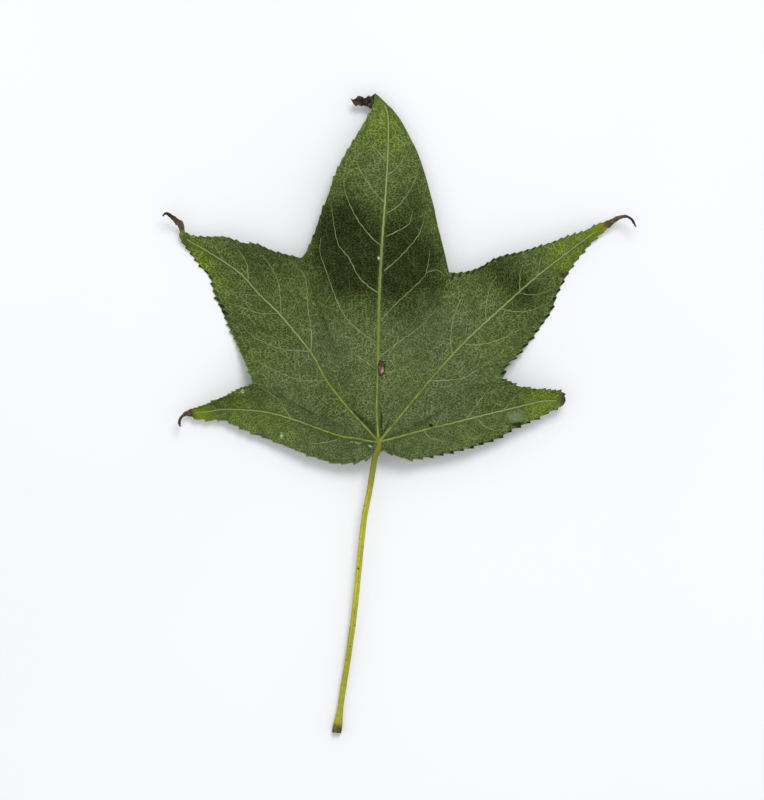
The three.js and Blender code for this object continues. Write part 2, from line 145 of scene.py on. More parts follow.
# The side veins of each lobe, from the main vein outwards, as plan points through which they curve
SIDE_VEINS = {
    "top": [
        [(2.7, 98.6), (1.1, 100.6), (-0.9, 102.8)],
        [(2.7, 88.6), (0.2, 91.5), (-2.7, 95.1), (-4.3, 97.5)],
        [(2.0, 75.6), (-1.4, 79.3), (-5.7, 85.8), (-7.3, 91.1), (-7.2, 94.0)],
        [(0.9, 62.0), (-2.2, 64.7), (-6.8, 70.6), (-10.3, 78.2), (-11.3, 84.3)],
        [(-0.2, 47.2), (-3.8, 49.7), (-6.6, 52.8), (-9.5, 58.4), (-13.0, 63.3), (-15.0, 75.3)],
        [(-0.5, 31.3), (-6.3, 35.3), (-11.9, 41.9), (-16.9, 55.1), (-18.5, 60.1), (-18.2, 64.6)],
        [(3.2, 99.2), (4.9, 100.6), (6.3, 101.9)],
        [(3.0, 95.3), (4.9, 96.2), (6.7, 97.6)],
        [(2.9, 84.6), (5.9, 87.0), (9.0, 91.5), (9.8, 95.1)],
        [(2.2, 72.2), (6.7, 75.3), (11.2, 82.1), (12.8, 87.8)],
        [(2.2, 64.9), (6.7, 67.1), (9.6, 69.1), (10.8, 73.1)],
        [(1.7, 54.1), (6.7, 58.5), (12.8, 65.8), (15.0, 73.4)],
        [(0.6, 38.3), (5.2, 43.4), (12.0, 49.8), (15.0, 53.5), (16.3, 60.8)],
        [(15.0, 53.5), (18.5, 54.4), (21.4, 52.2)],
        [(0.0, 26.7), (6.4, 31.6), (12.5, 35.9), (16.1, 39.6), (19.1, 43.1)],
        [(-0.9, 23.1), (-5.9, 26.6), (-9.0, 28.5)],
    ],
    "upper left": [
        [(-21.4, 28.8), (-21.2, 34.0), (-22.3, 42.1), (-23.3, 52.2), (-28.1, 57.1)],
        [(-31.0, 40.5), (-31.0, 44.9), (-31.6, 49.8), (-34.0, 55.5), (-37.2, 59.2)],
        [(-41.3, 50.6), (-41.7, 56.3), (-44.8, 61.6), (-46.8, 63.0)],
        [(-49.6, 57.6), (-50.9, 60.9), (-53.6, 63.8)],
        [(-16.4, 19.5), (-24.1, 19.5), (-31.0, 21.8), (-38.8, 25.5)],
        [(-22.0, 28.6), (-26.1, 28.9), (-31.0, 29.5), (-39.1, 33.0), (-44.5, 38.0)],
        [(-31.4, 40.7), (-37.5, 40.7), (-40.7, 41.8), (-47.6, 44.0)],
        [(-37.7, 46.5), (-43.2, 46.8), (-47.9, 48.6)],
        [(-44.5, 53.8), (-47.6, 53.2), (-51.1, 54.1)],
        [(-12.5, 13.6), (-16.0, 13.6), (-18.2, 13.0)],
        [(-9.5, 10.3), (-11.6, 9.5), (-13.8, 8.1)],
        [(-21.0, 36.4), (-19.8, 37.2), (-18.8, 38.0)],
    ],
    "lower left": [
        [(-27.6, 7.4), (-30.3, 11.4), (-31.6, 13.4), (-37.0, 17.4)],
        [(-40.8, 10.4), (-42.8, 13.4), (-44.6, 15.5)],
        [(-27.6, 7.4), (-30.7, 5.2), (-34.0, 3.8)],
        [(-41.0, 10.4), (-42.8, 8.1), (-46.4, 6.0)],
        [(-12.0, 1.9), (-13.8, 0.5), (-19.1, -0.4), (-22.3, -0.4)],
        [(-50.8, 9.8), (-52.7, 11.4), (-54.3, 11.7)],
    ],
    "upper right": [
        [(23.3, 27.9), (22.8, 32.9), (24.1, 40.8), (27.2, 47.2), (29.3, 49.8)],
        [(34.1, 38.4), (33.9, 42.2), (35.3, 48.9), (37.5, 52.5)],
        [(44.7, 47.9), (44.7, 51.6), (45.1, 54.7), (47.5, 57.6)],
        [(50.5, 52.7), (51.1, 57.4), (52.0, 59.6)],
        [(58.7, 59.2), (59.3, 61.4), (60.9, 63.6)],
        [(16.3, 19.3), (22.9, 19.6), (27.2, 20.4), (34.3, 24.7)],
        [(26.7, 31.0), (31.9, 30.8), (38.6, 32.6), (46.2, 36.4)],
        [(38.6, 42.1), (44.0, 41.3), (48.4, 41.8), (53.8, 44.0)],
        [(44.1, 47.3), (48.4, 46.7), (52.0, 47.2), (55.1, 48.4)],
        [(49.3, 51.8), (54.7, 52.0), (57.4, 52.8)],
    ],
    "lower right": [
        [(27.6, 7.0), (30.1, 10.6), (34.8, 16.8), (38.4, 21.5)],
        [(17.8, 4.9), (19.5, 7.6), (20.5, 9.8), (22.9, 11.5)],
        [(35.6, 9.2), (36.5, 11.1), (37.8, 12.8)],
        [(39.5, 10.0), (42.9, 14.0), (45.0, 15.7)],
        [(47.6, 12.1), (48.4, 13.6), (50.2, 15.3)],
        [(30.9, 7.6), (33.5, 5.1), (36.5, 3.8), (39.1, 3.8)],
        [(14.3, 3.8), (16.0, 1.6), (19.5, 0.4), (22.9, 0.0)],
        [(43.3, 10.9), (46.0, 9.5), (48.6, 8.9)],
    ],
}

# The stalk's middle line: plan points and heights above the surface
STALK = [(0.35, 1.2, 6.4), (0.15, -1.2, 6.9), (-0.25, -2.6, 7.1), (-1.0, -4.3, 6.8), (-1.35, -6, 6.4),
         (-2.9, -15.6, 5.6), (-4.7, -25.3, 5.1), (-7, -47.5, 3.6), (-7.9, -55.7, 3), (-9.7, -68.7, 2.2),
         (-11.4, -79.4, 1.6), (-13, -90.7, 1.3), (-13.2, -92.3, 1.3)]
# Each dried tip's middle line, its half widths at even steps, and how far along it turns brown
CURLS = {
    "upper_left": ([(-61.2, 64.4, 2.2), (-62.2, 66.8, 2.4), (-62.5, 68, 2.7), (-62.9, 69.1, 3.3),
                    (-63.7, 69.8, 4), (-64.7, 70.8, 4.6), (-65.8, 71.6, 5.2), (-66.7, 72.2, 5.5),
                    (-67.6, 72.2, 5.5), (-68.2, 71.5, 5.2)],
                   [0.3, 0.8, 0.75, 1.05, 1.2, 1.1, 0.85, 0.7, 0.45, 0.3], 0.22),
    "lower_left": ([(-57.6, 9.3, 2.1), (-60.1, 9.1, 2.4), (-61.2, 8.9, 2.9), (-61.9, 8.4, 3.5),
                    (-62.6, 7.7, 4.1), (-63, 6.8, 4.6), (-63, 5.9, 4.9), (-62.7, 4.9, 4.9)],
                   [0.3, 1.1, 1.0, 0.75, 0.5, 0.48, 0.46, 0.3], 0.02),
    "upper_right": ([(69.8, 67.4, 2.4), (72, 68.7, 2.5), (73.1, 69.3, 2.7), (74.4, 70.1, 3.1),
                     (75.6, 70.8, 3.6), (76.7, 71.2, 4.2), (78.1, 71.4, 4.9), (79.1, 71.1, 5.3),
                     (80.2, 70.3, 5.6), (80.8, 69.3, 5.5), (81.4, 68.2, 5.2)],
                    [0.3, 1.3, 1.2, 0.98, 0.85, 0.75, 0.6, 0.5, 0.46, 0.42, 0.3], 0.16),
}
# The top lobe's tip has dried, folded under the blade and crumpled: its plan points on both edges, from
# where the blade hides it to its ragged end
CRUMPLED_EDGES = [
    [(2.5, 107.4), (0.2, 108.6), (-1.1, 110.3), (-1.65, 110.0), (-2.5, 109.6), (-3.1, 109.9), (-3.6, 109.4),
     (-4.6, 109.0), (-5.2, 109.5), (-6.5, 109.5), (-7.2, 109.0), (-8.0, 108.5), (-8.9, 108.9)],
    [(3.4, 104.2), (1.2, 104.6), (-0.6, 105.5), (-1.65, 105.9), (-2.7, 105.6), (-3.1, 106.1), (-3.6, 106.1),
     (-4.6, 106.8), (-5.4, 106.3), (-6.3, 106.7), (-7.2, 106.4), (-8.0, 107.2), (-8.6, 108.3)],
]

# Marks on the upper face: plan point, reach across and up, colour, and how strongly it covers
MARKS = [
    ((0.1, 58.1), (0.6, 0.55), (0.62, 0.66, 0.50), 0.9),
    ((0.2, 58.0), (0.22, 0.2), (0.06, 0.07, 0.03), 0.8),
    ((-4.0, 12.5), (0.95, 0.95), (0.20, 0.26, 0.13), 0.6),
    ((-4.0, 12.5), (0.55, 0.5), (0.03, 0.045, 0.015), 0.8),
    ((16.5, 5.3), (0.7, 0.45), (0.012, 0.014, 0.006), 0.95),
    ((-43.0, 16.1), (0.55, 1.0), (0.50, 0.50, 0.28), 0.9),
    ((-30.7, 2.1), (0.5, 1.1), (0.50, 0.52, 0.30), 0.9),
    ((43.3, 8.0), (3.0, 2.0), (0.20, 0.27, 0.14), 0.6),
]
# Dead patches, brown on both faces, given the same way
DEAD = [
    ((-37.4, 1.9), (2.6, 1.2), (0.11, 0.09, 0.07), 0.95),
    ((44.0, 5.6), (2.4, 0.8), (0.030, 0.018, 0.008), 0.9),
    ((58.5, 53.0), (1.3, 1.2), (0.070, 0.045, 0.032), 0.9),
    ((59.6, 13.3), (2.2, 3.6), (0.085, 0.052, 0.034), 0.95),
    ((20.5, -3.4), (0.9, 0.6), (0.10, 0.055, 0.022), 0.8),
]

# Teeth with brown points besides those of the flanks above: plan point, reach, amount
BROWN_TEETH = [((-55.5, 53), 6, 1.0), ((-50.5, 42), 5, 1.0), ((-60.5, 61), 5, 0.9), ((8, -5), 7, -1.0)]

# Painted shade in folds beside the veins near the base, and painted glints on their ridges: where each starts
# and ends, half its width, and how dark (below 0) or how pale with sheen (above 0) it is
PAINTED_CREASE_SHADE_AND_GLINTS = [
    ((-1.2, 2.6), (-7.8, 9.8), 1.1, -1.1), ((0.6, 2.0), (1.3, 4.2), 0.5, -1.0),
    ((-0.9, 2.2), (-3.4, 6.5), 0.7, -0.9), ((0.9, 3.0), (0.9, 10.5), 0.55, -0.9),
    ((2.0, 3.4), (3.4, 6.6), 0.45, -0.8), ((1.45, 3.4), (1.4, 5.4), 0.3, 1.3),
    ((2.3, 3.1), (3.1, 4.9), 0.25, 0.9), ((-1.4, -0.45), (-8.6, 0.7), 0.28, -0.9),
    ((-4.6, -0.6), (-9.8, 0.3), 0.35, 0.9), ((-1.6, -0.6), (-3.6, 0.2), 0.4, -0.9),
    ((-2.0, -1.6), (-3.2, -1.0), 0.4, 1.1), ((-2.4, -2.6), (-3.4, -2.2), 0.4, -0.7),
    ((-1.9, 2.5), (-2.9, 3.7), 0.25, 1.0), ((4.2, 8.0), (12.5, 17.5), 0.6, -0.35),
    ((-0.8, 8.0), (-0.9, 20.0), 0.5, -0.45), ((0.6, 10.0), (0.8, 20.5), 0.5, -0.45),
    ((5.0, 0.5), (14.0, 2.6), 0.5, -0.3),
]

# A dead, raised spot on the top lobe's main vein, and the scar that loops beside it
SCAB = ((0.85, 23.4), (1.25, 2.45))
LOOP_SCAR = [(2.7, 22.1), (4.2, 22.2), (5.25, 23.1), (5.1, 24.8), (4.7, 25.5), (5.1, 27.5)]

# Where the upper face has painted shade (below 0) or painted light (above 0), as its curves face away from
# or towards the light: plan point, reach, amount
PAINTED_LIGHT_AND_SHADE = [
    ((-12.2, 68.7), 9, -1.0), ((-8.4, 54), 11, -1.4), ((11, 57), 12, -1.15), ((-16, 60), 6, -0.5),
    ((2, 64), 8, -0.5), ((8.5, 78), 8, -0.55), ((-9, 78), 7, -0.15), ((8, 42), 10, -0.3),
    ((3, 103), 9, 0.5), ((-4.7, 91), 8, 0.3), ((6, 90), 6, 0.3), ((-49, 53), 7, 0.3), ((-36, 36), 11, -0.2),
    ((-36, 57), 9, -0.55), ((-56.5, 57.5), 5, 0.8), ((-48.5, 60.5), 6, -0.4), ((-60, 63.5), 4, 0.3),
    ((-50, 48), 8, 0.35), ((-33, 4), 14, 0.4), ((-44, 11.5), 8, 0.35), ((-15, 13), 8, -0.45),
    ((22, 0), 13, 0.15), ((52, 13), 9, 0.8), ((35, 31), 12, 0.35), ((37, 54), 7, -0.7), ((46, 50), 7, -0.6),
    ((49, 43), 7, -0.35), ((61, 61), 9, 0.7), ((54, 57), 7, 0.35), ((67.5, 66), 5, 0.4),
    ((-16, 31), 9, -0.2), ((-10, 25), 13, 0.3), ((10, 22), 12, 0.15), ((0, 3), 6, -0.35),
]
# Painted sheen: how much greyer and bluer the green is painted where the glossy lower half of the leaf
# reflects the light: plan point, reach, amount
PAINTED_SHEEN_SPOTS = [
    ((0, 8), 30, 0.8), ((30, 30), 18, 0.7), ((-30, 12), 16, 0.5), ((-24, 0), 14, 0.6), ((20, 0), 12, 0.35),
    ((12, 34), 12, 0.6), ((-1, 87), 8, 0.55), ((-47.5, 51.5), 8, 0.4), ((-15, 13), 9, -0.7),
    ((-16, 31), 10, 0.7), ((54, 56), 9, 0.6), ((50, 13), 8, 0.35), ((-38, 46), 6, 0.4),
]


def smoothstep(x, low, high):
    share = np.clip((x - low) / (high - low), 0, 1)
    return share * share * (3 - 2 * share)


def spline(knots, i, u):
    """A smooth run through knots, at the share u of the way from knot i to the next."""
    a, b = knots[i], knots[i + 1]
    slope_a, slope_b = (b - knots[i - 1]) / 2, (knots[i + 2] - a) / 2
    cubic = (2 * a - 2 * b + slope_a + slope_b) * u**3
    return cubic + (-3 * a + 3 * b - 2 * slope_a - slope_b) * u**2 + slope_a * u + a


class Curve:
    """A smooth curve through points, read by its share of the length from 0 to 1."""

    STEPS = 40

    def __init__(self, points):
        knots = np.array(points, float)
        knots = np.vstack([knots[:1], knots, knots[-1:]])
        u = np.linspace(0, 1, self.STEPS, endpoint=False)[:, None]
        runs = [spline(knots, i, u) for i in range(1, len(knots) - 2)]
        self.line = np.vstack(runs + [knots[-1:]])
        steps = np.linalg.norm(np.diff(self.line, axis=0), axis=1)
        self.along = np.concatenate([[0], np.cumsum(steps)])
        self.length = self.along[-1]

    def at(self, share):
        place = np.asarray(share) * self.length
        return np.stack([np.interp(place, self.along, axis) for axis in self.line.T], axis=-1)

    def direction(self, share):
        step = 0.004
        run = self.at(np.clip(share + step, 0, 1)) - self.at(np.clip(share - step, 0, 1))
        return run / np.maximum(np.linalg.norm(run, axis=-1, keepdims=True), 1e-9)

    def leftwards(self, share):
        run = self.direction(share)
        return np.stack([-run[:, 1], run[:, 0]], axis=1)


def along_steps(values, t):
    """Values given at even steps, read at shares of the way along them."""
    knots = np.array([values[0], *values, values[-1]], float)
    place = np.clip(t, 0, 1) * (len(values) - 1)
    i = np.minimum(place.astype(int), len(values) - 2)
    return spline(knots, i + 1, place - i)


def margin_of(lobe, flank):
    return Curve([SINUSES[flank[0]][0], *flank[-1], lobe["vein"][-1]])


def to_frame(points):
    """Plan points in millimetres to the frame in metres."""
    placed = np.array(points, float)
    placed[..., :2] += BASE_IN_FRAME
    return placed * MM


def length(name, description, default):
    return bpy.props.FloatProperty(
        name=name, description=description, default=default, unit="LENGTH", precision=5)


def hue(name, description, default):
    return bpy.props.FloatVectorProperty(
        name=name, description=description, default=default, subtype="COLOR", size=3, min=0, max=1)


class LeafSizes(bpy.types.PropertyGroup):
    rows_per_step: bpy.props.IntProperty(
        name="Rows per step", description="Rows of the fine blade for each row of the solid one",
        default=4, min=1, max=6)
    columns: bpy.props.IntProperty(
        name="Columns", description="Points from the main vein to the margin", default=24, min=6, max=40)
    blade_thickness: length("Blade thickness", "Thickness of the green blade", 0.00032)
    tooth_depth: length("Tooth depth", "How far a tooth stands out from the margin", 0.00065)
    pucker: length("Pucker", "How far the blade bulges up between its veins", 0.00035)
    main_vein_width: length("Main vein width", "Width of a main vein at the base", 0.00072)
    side_vein_width: length("Side vein width", "Width of a side vein where it starts", 0.00038)
    stalk_radius: length("Stalk radius", "Half the stalk's thickness", 0.00094)
    seed: bpy.props.IntProperty(name="Seed", description="Sets the chance differences", default=11)


class LeafColours(bpy.types.PropertyGroup):
    blade: hue("Blade", "Usual green of the blade's upper face", (0.077, 0.113, 0.026))
    # The dark and light blade greens are painted shade and painted light, mixed in where the leaf's curves
    # face away from or towards the light
    blade_painted_shade: hue("Dark blade", "Green where the blade is darkest", (0.018, 0.022, 0.004))
    blade_painted_light: hue("Light blade", "Green where the blade is lightest", (0.160, 0.232, 0.022))
    # Painted sheen: the greyer green of the leaf's glossy lower half
    blade_painted_sheen: hue("Cool blade", "Greyer green of the leaf's lower half", (0.080, 0.112, 0.038))
    net: hue("Net", "Paler green of the finest veins", (0.170, 0.218, 0.105))
    underside: hue("Underside", "Pale green of the lower face", (0.20, 0.27, 0.12))
    main_vein: hue("Main veins", "Yellow green of the main veins", (0.190, 0.240, 0.034))
    side_vein: hue("Side veins", "Pale green of the side veins", (0.205, 0.262, 0.098))
    ripe: hue("Ripe", "Yellow green next to a dried tip", (0.200, 0.265, 0.014))
    stalk: hue("Stalk", "Yellow green of the stalk", (0.420, 0.410, 0.040))
    dried: hue("Dried tip", "Brown of the dried lobe tips", (0.105, 0.062, 0.034))


def sizes():
    return bpy.context.scene.leaf_sizes


def colours():
    return bpy.context.scene.leaf_colours


# No point of the leaf lies lower over the surface than this, in metres
LOWEST = 0.00002


def deselect_all():
    if bpy.context.object and bpy.context.object.mode != "OBJECT":
        bpy.ops.object.mode_set(mode="OBJECT")
    bpy.ops.object.select_all(action="DESELECT")


def new_piece(name, points, faces, materials, face_materials=None):
    """A smooth piece that rides on the leaf's one body and stands for the solid leaf."""
    mesh = bpy.data.meshes.new(name)
    points = np.array(points, float)
    points[:, 2] = np.maximum(points[:, 2], LOWEST)
    mesh.from_pydata([tuple(p) for p in points], [], [tuple(int(i) for i in f) for f in faces])
    for material in materials:
        mesh.materials.append(material)
    if face_materials is not None:
        mesh.polygons.foreach_set("material_index", np.array(face_materials, np.int32))
    mesh.polygons.foreach_set("use_smooth", [True] * len(mesh.polygons))
    mesh.update()
    piece = bpy.data.objects.new(name, mesh)
    bpy.context.scene.collection.objects.link(piece)
    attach(piece, "root")
    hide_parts("leaf")
    return piece


def add_values(mesh, name, values):
    layer = mesh.attributes.new(name, "FLOAT", "POINT")
    layer.data.foreach_set("value", np.asarray(values, np.float32))


def loft(path, half_widths, ups, downs, sides, turns=0.0, surface_form=None):
    """Points and faces of a closed skin round a path, with its half width, height above and depth below.

    surface_form swells or sinks each point: one factor for each step and side."""
    path = np.asarray(path, float)
    steps = len(path)
    along = np.gradient(path, axis=0)
    along /= np.linalg.norm(along, axis=1, keepdims=True)
    across = np.cross(along, (0.0, 0.0, 1.0))
    across /= np.linalg.norm(across, axis=1, keepdims=True)
    over = np.cross(across, along)
    angle = np.linspace(0, 2 * math.pi, sides, endpoint=False)
    reach = np.where(np.sin(angle) > 0, np.broadcast_to(ups, steps)[:, None],
                     np.broadcast_to(downs, steps)[:, None])
    form = np.ones((steps, sides)) if surface_form is None else surface_form
    side_part = np.broadcast_to(half_widths, steps)[:, None] * np.cos(angle) * form
    over_part = reach * np.sin(angle) * form
    turn = np.broadcast_to(turns, steps)[:, None]
    turned_side = side_part * np.cos(turn) - over_part * np.sin(turn)
    turned_over = side_part * np.sin(turn) + over_part * np.cos(turn)
    rings = path[:, None] + turned_side[..., None] * across[:, None] + turned_over[..., None] * over[:, None]
    points = np.vstack([rings.reshape(-1, 3), path[:1], path[-1:]])
    faces = []
    first_cap, last_cap = steps * sides, steps * sides + 1
    for side in range(sides):
        after = (side + 1) % sides
        for step in range(steps - 1):
            low, high = step * sides, (step + 1) * sides
            faces.append((low + side, high + side, high + after, low + after))
        faces.append((first_cap, side, after))
        faces.append((last_cap, (steps - 1) * sides + after, (steps - 1) * sides + side))
    return points, faces


def by_rings(values, sides, first=0.0, last=1.0):
    """Values along a lofted skin, for each of its points."""
    return np.concatenate([np.repeat(values, sides), [first, last]])


def joined(lofts):
    """Several skins as one list of points and one of faces."""
    points, faces, start = [], [], 0
    for part_points, part_faces in lofts:
        points.append(part_points)
        faces.extend(tuple(i + start for i in face) for face in part_faces)
        start += len(part_points)
    return np.vstack(points), faces


# How far from one notch to the next a tooth's point stands, how hollow its two sides are, and the
# smallest size of a tooth and how much larger others may be
TOOTH_POINT = 0.75
RISE_HOLLOW, FALL_HOLLOW = 1.5, 1.6
TOOTH_LEAST, TOOTH_SPREAD = 0.4, 1.1


def tooth_rows(rows_past_sinus, margin_rows, finer, rng):
    """How far along and how far out each row's end moves to make the teeth: in rows, and from 0 to 1."""
    steps = rows_past_sinus * finer
    phase = np.mod(steps, 2) / 2
    rise = np.clip(phase / TOOTH_POINT, 0, 1) ** RISE_HOLLOW
    fall = np.clip((1 - phase) / (1 - TOOTH_POINT), 0, 1) ** FALL_HOLLOW
    profile = np.where(phase < TOOTH_POINT, rise, fall)
    size = TOOTH_LEAST + TOOTH_SPREAD * rng.random(int(margin_rows * finer) // 2 + 2)
    size = size[(steps // 2).astype(int)]
    fade = smoothstep(margin_rows - rows_past_sinus, 0, TOOTHLESS_ROWS)
    return TOOTH_SHIFT / finer * profile * fade, profile * size * fade, profile * fade


# Millimetres to one unit of the blade's net pattern, and how much finer the net is on the two flanks
# beside the stalk, whose rows aren't slanted
WEAVE_UNIT, BASE_WEAVE = 100, 1.5
# Where along the main vein the rows start to bow, and where they reach their full bow
BOW_START, BOW_FULL = 0.05, 0.4
# How much closer together the columns lie towards the margin, and the shares of the way there between
# which a row turns from blade to tooth
CROWDING = 1.3
TOOTH_FOOT, TOOTH_BODY = 0.84, 0.97


def flank_grid(lobe, flank, side, rng):
    """One half of a lobe: its plan points and heights in rows, and what the finish needs to know."""
    sinus_name, lift, wave, bow, teeth, brown_points, finer, _ = flank
    sinus_at, sinus_height, sinus_rows = SINUSES[sinus_name]
    rows_per_step = sizes().rows_per_step
    place = np.arange(lobe["rows"] * rows_per_step + 1) / rows_per_step
    t = place / lobe["rows"]
    vein, margin = Curve(lobe["vein"]), margin_of(lobe, flank)
    height = along_steps(lobe["heights"], t)
    past = np.clip(place - sinus_rows, 0, None)
    margin_rows = lobe["rows"] - sinus_rows
    shift, step, peak = tooth_rows(past, margin_rows, finer, rng)
    if not teeth:
        shift = shift * 0
    s = np.clip((past + shift) / margin_rows, 0, 1)
    depth = sizes().tooth_depth / MM * teeth
    outer = margin.at(s) + side * (step * depth)[:, None] * margin.leftwards(s)
    outer_height = sinus_height + (lobe["heights"][-1] - sinus_height) * s + lift * np.sin(math.pi * s)
    outer_height += wave * np.sin(2 * math.pi * WAVES_PER_MARGIN * s) * (1 - s)
    if sinus_rows:
        share = np.clip(place / sinus_rows, 0, 1)
        line_height = BASE_HEIGHT + (sinus_height - BASE_HEIGHT) * smoothstep(share, 0, 1)
        before = place <= sinus_rows
        outer = np.where(before[:, None], share[:, None] * np.array(sinus_at), outer)
        outer_height = np.where(before, line_height, outer_height)
    root = vein.at(t)
    v = 1 - (1 - np.linspace(0, 1, sizes().columns + 1)[None, :]) ** CROWDING
    span = (outer - root)[:, None]
    bulge = (bow * side * smoothstep(t, BOW_START, BOW_FULL))[:, None] * 4 * v * (1 - v)
    sideways = np.stack([-span[..., 1], span[..., 0]], axis=-1)
    z = np.maximum(height[:, None] + (outer_height - height)[:, None] * v * (2 - v), 0)
    from_vein = np.linalg.norm(span, axis=-1) * v * side
    along = np.broadcast_to((t * vein.length)[:, None], z.shape)
    return {
        "side": side,
        "open": place >= sinus_rows,
        "plan": root[:, None] + span * v[..., None] + sideways * bulge[..., None],
        "z": z,
        "peak": peak[:, None] * smoothstep(v, TOOTH_FOOT, TOOTH_BODY) * math.ceil(teeth),
        "brown": np.full_like(z, brown_points),
        "weave": np.stack([from_vein, along], axis=-1) / WEAVE_UNIT * (1 if sinus_rows else BASE_WEAVE),
    }


def tree_of(lines, step=0.3):
    """Close plan points along lines, to find the distance to the nearest line."""
    curves = [Curve(line) for line in lines]
    return tree_of_points([spot for curve in curves
                           for spot in curve.at(np.linspace(0, 1, int(curve.length / step) + 2))])


def tree_of_points(spots):
    tree = KDTree(len(spots))
    for i, (x, y) in enumerate(spots):
        tree.insert((x, y, 0), i)
    tree.balance()
    return tree


def distances(tree, plan):
    return np.array([tree.find((x, y, 0))[2] for x, y in plan])


# In millimetres
WRINKLE_HEIGHT = 0.16


def wrinkles(plan):
    """Slow, small ups and downs of the blade: two winding waves that cross."""
    wave = WRINKLE_HEIGHT * np.sin(plan[:, 0] / 3.1 + 1.7 * np.sin(plan[:, 1] / 5.3))
    return wave * np.sin(plan[:, 1] / 3.7 + 1.3 * np.sin(plan[:, 0] / 6.1))


def blobs(plan, spots):
    """The sum of soft round spots at plan points."""
    total = np.zeros(len(plan))
    for (x, y), reach, amount in spots:
        total += amount * np.exp(-((plan[:, 0] - x) ** 2 + (plan[:, 1] - y) ** 2) / reach**2)
    return total


# Where a lobe's tip turns brown: a plan point, the way on to the tip, and over how many millimetres
# before that it turns yellow green. The blade's ripe values count as if that were RIPENS millimetres.
RIPENS = 8
TIP_REACH = 14
FAR_FROM_TIPS = -99.0
BROWN_FROM = [
    ((-62.5, 68.2), (-0.3, 0.95), 3.5),
    ((-58.8, 9.2), (-0.97, -0.25), 9.5),
    ((71.9, 68.9), (0.9, 0.44), 10),
]


def ripeness(plan):
    """How far past the line where a lobe's tip turns brown a plan point lies, in millimetres."""
    nearest = np.full(len(plan), FAR_FROM_TIPS)
    for (x, y), (run_x, run_y), ripens in BROWN_FROM:
        reach = (plan[:, 0] - x) * run_x + (plan[:, 1] - y) * run_y
        reach = np.where(reach < 0, reach * RIPENS / ripens, reach)
        close = np.hypot(plan[:, 0] - x, plan[:, 1] - y) < TIP_REACH
        nearest = np.where(close, np.maximum(nearest, reach), nearest)
    return nearest


def painted_crease_light(plan):
    """How much painted shade of a fold (below 0) or painted glint of a shiny ridge (above 0) plan points get.
    """
    total = np.zeros(len(plan))
    for start, end, half_width, amount in PAINTED_CREASE_SHADE_AND_GLINTS:
        start, run = np.array(start), np.array(end) - np.array(start)
        share = np.clip((plan - start) @ run / (run @ run), 0, 1)
        away = np.linalg.norm(plan - start - share[:, None] * run, axis=1)
        slim = half_width * (0.35 + 0.65 * np.sin(math.pi * np.clip(share, 0.08, 0.92)))
        total += amount * np.exp(-((away / slim) ** 2))
    return np.clip(total, -1, 1.2)


# Added before points are rounded to find the shared ones, as some lie halfway between two roundings
OFF_TIES = 0.00013
# In millimetres: how far from the veins the blade bulges up in full, how far from the margin it has its
# slow waves and any bulge in full, and how much higher than the solid one it lies
PUCKER_REACH, CALM_RIM, FLAT_RIM, OVER_SOLID = 1.8, 4, 1.5, 0.06


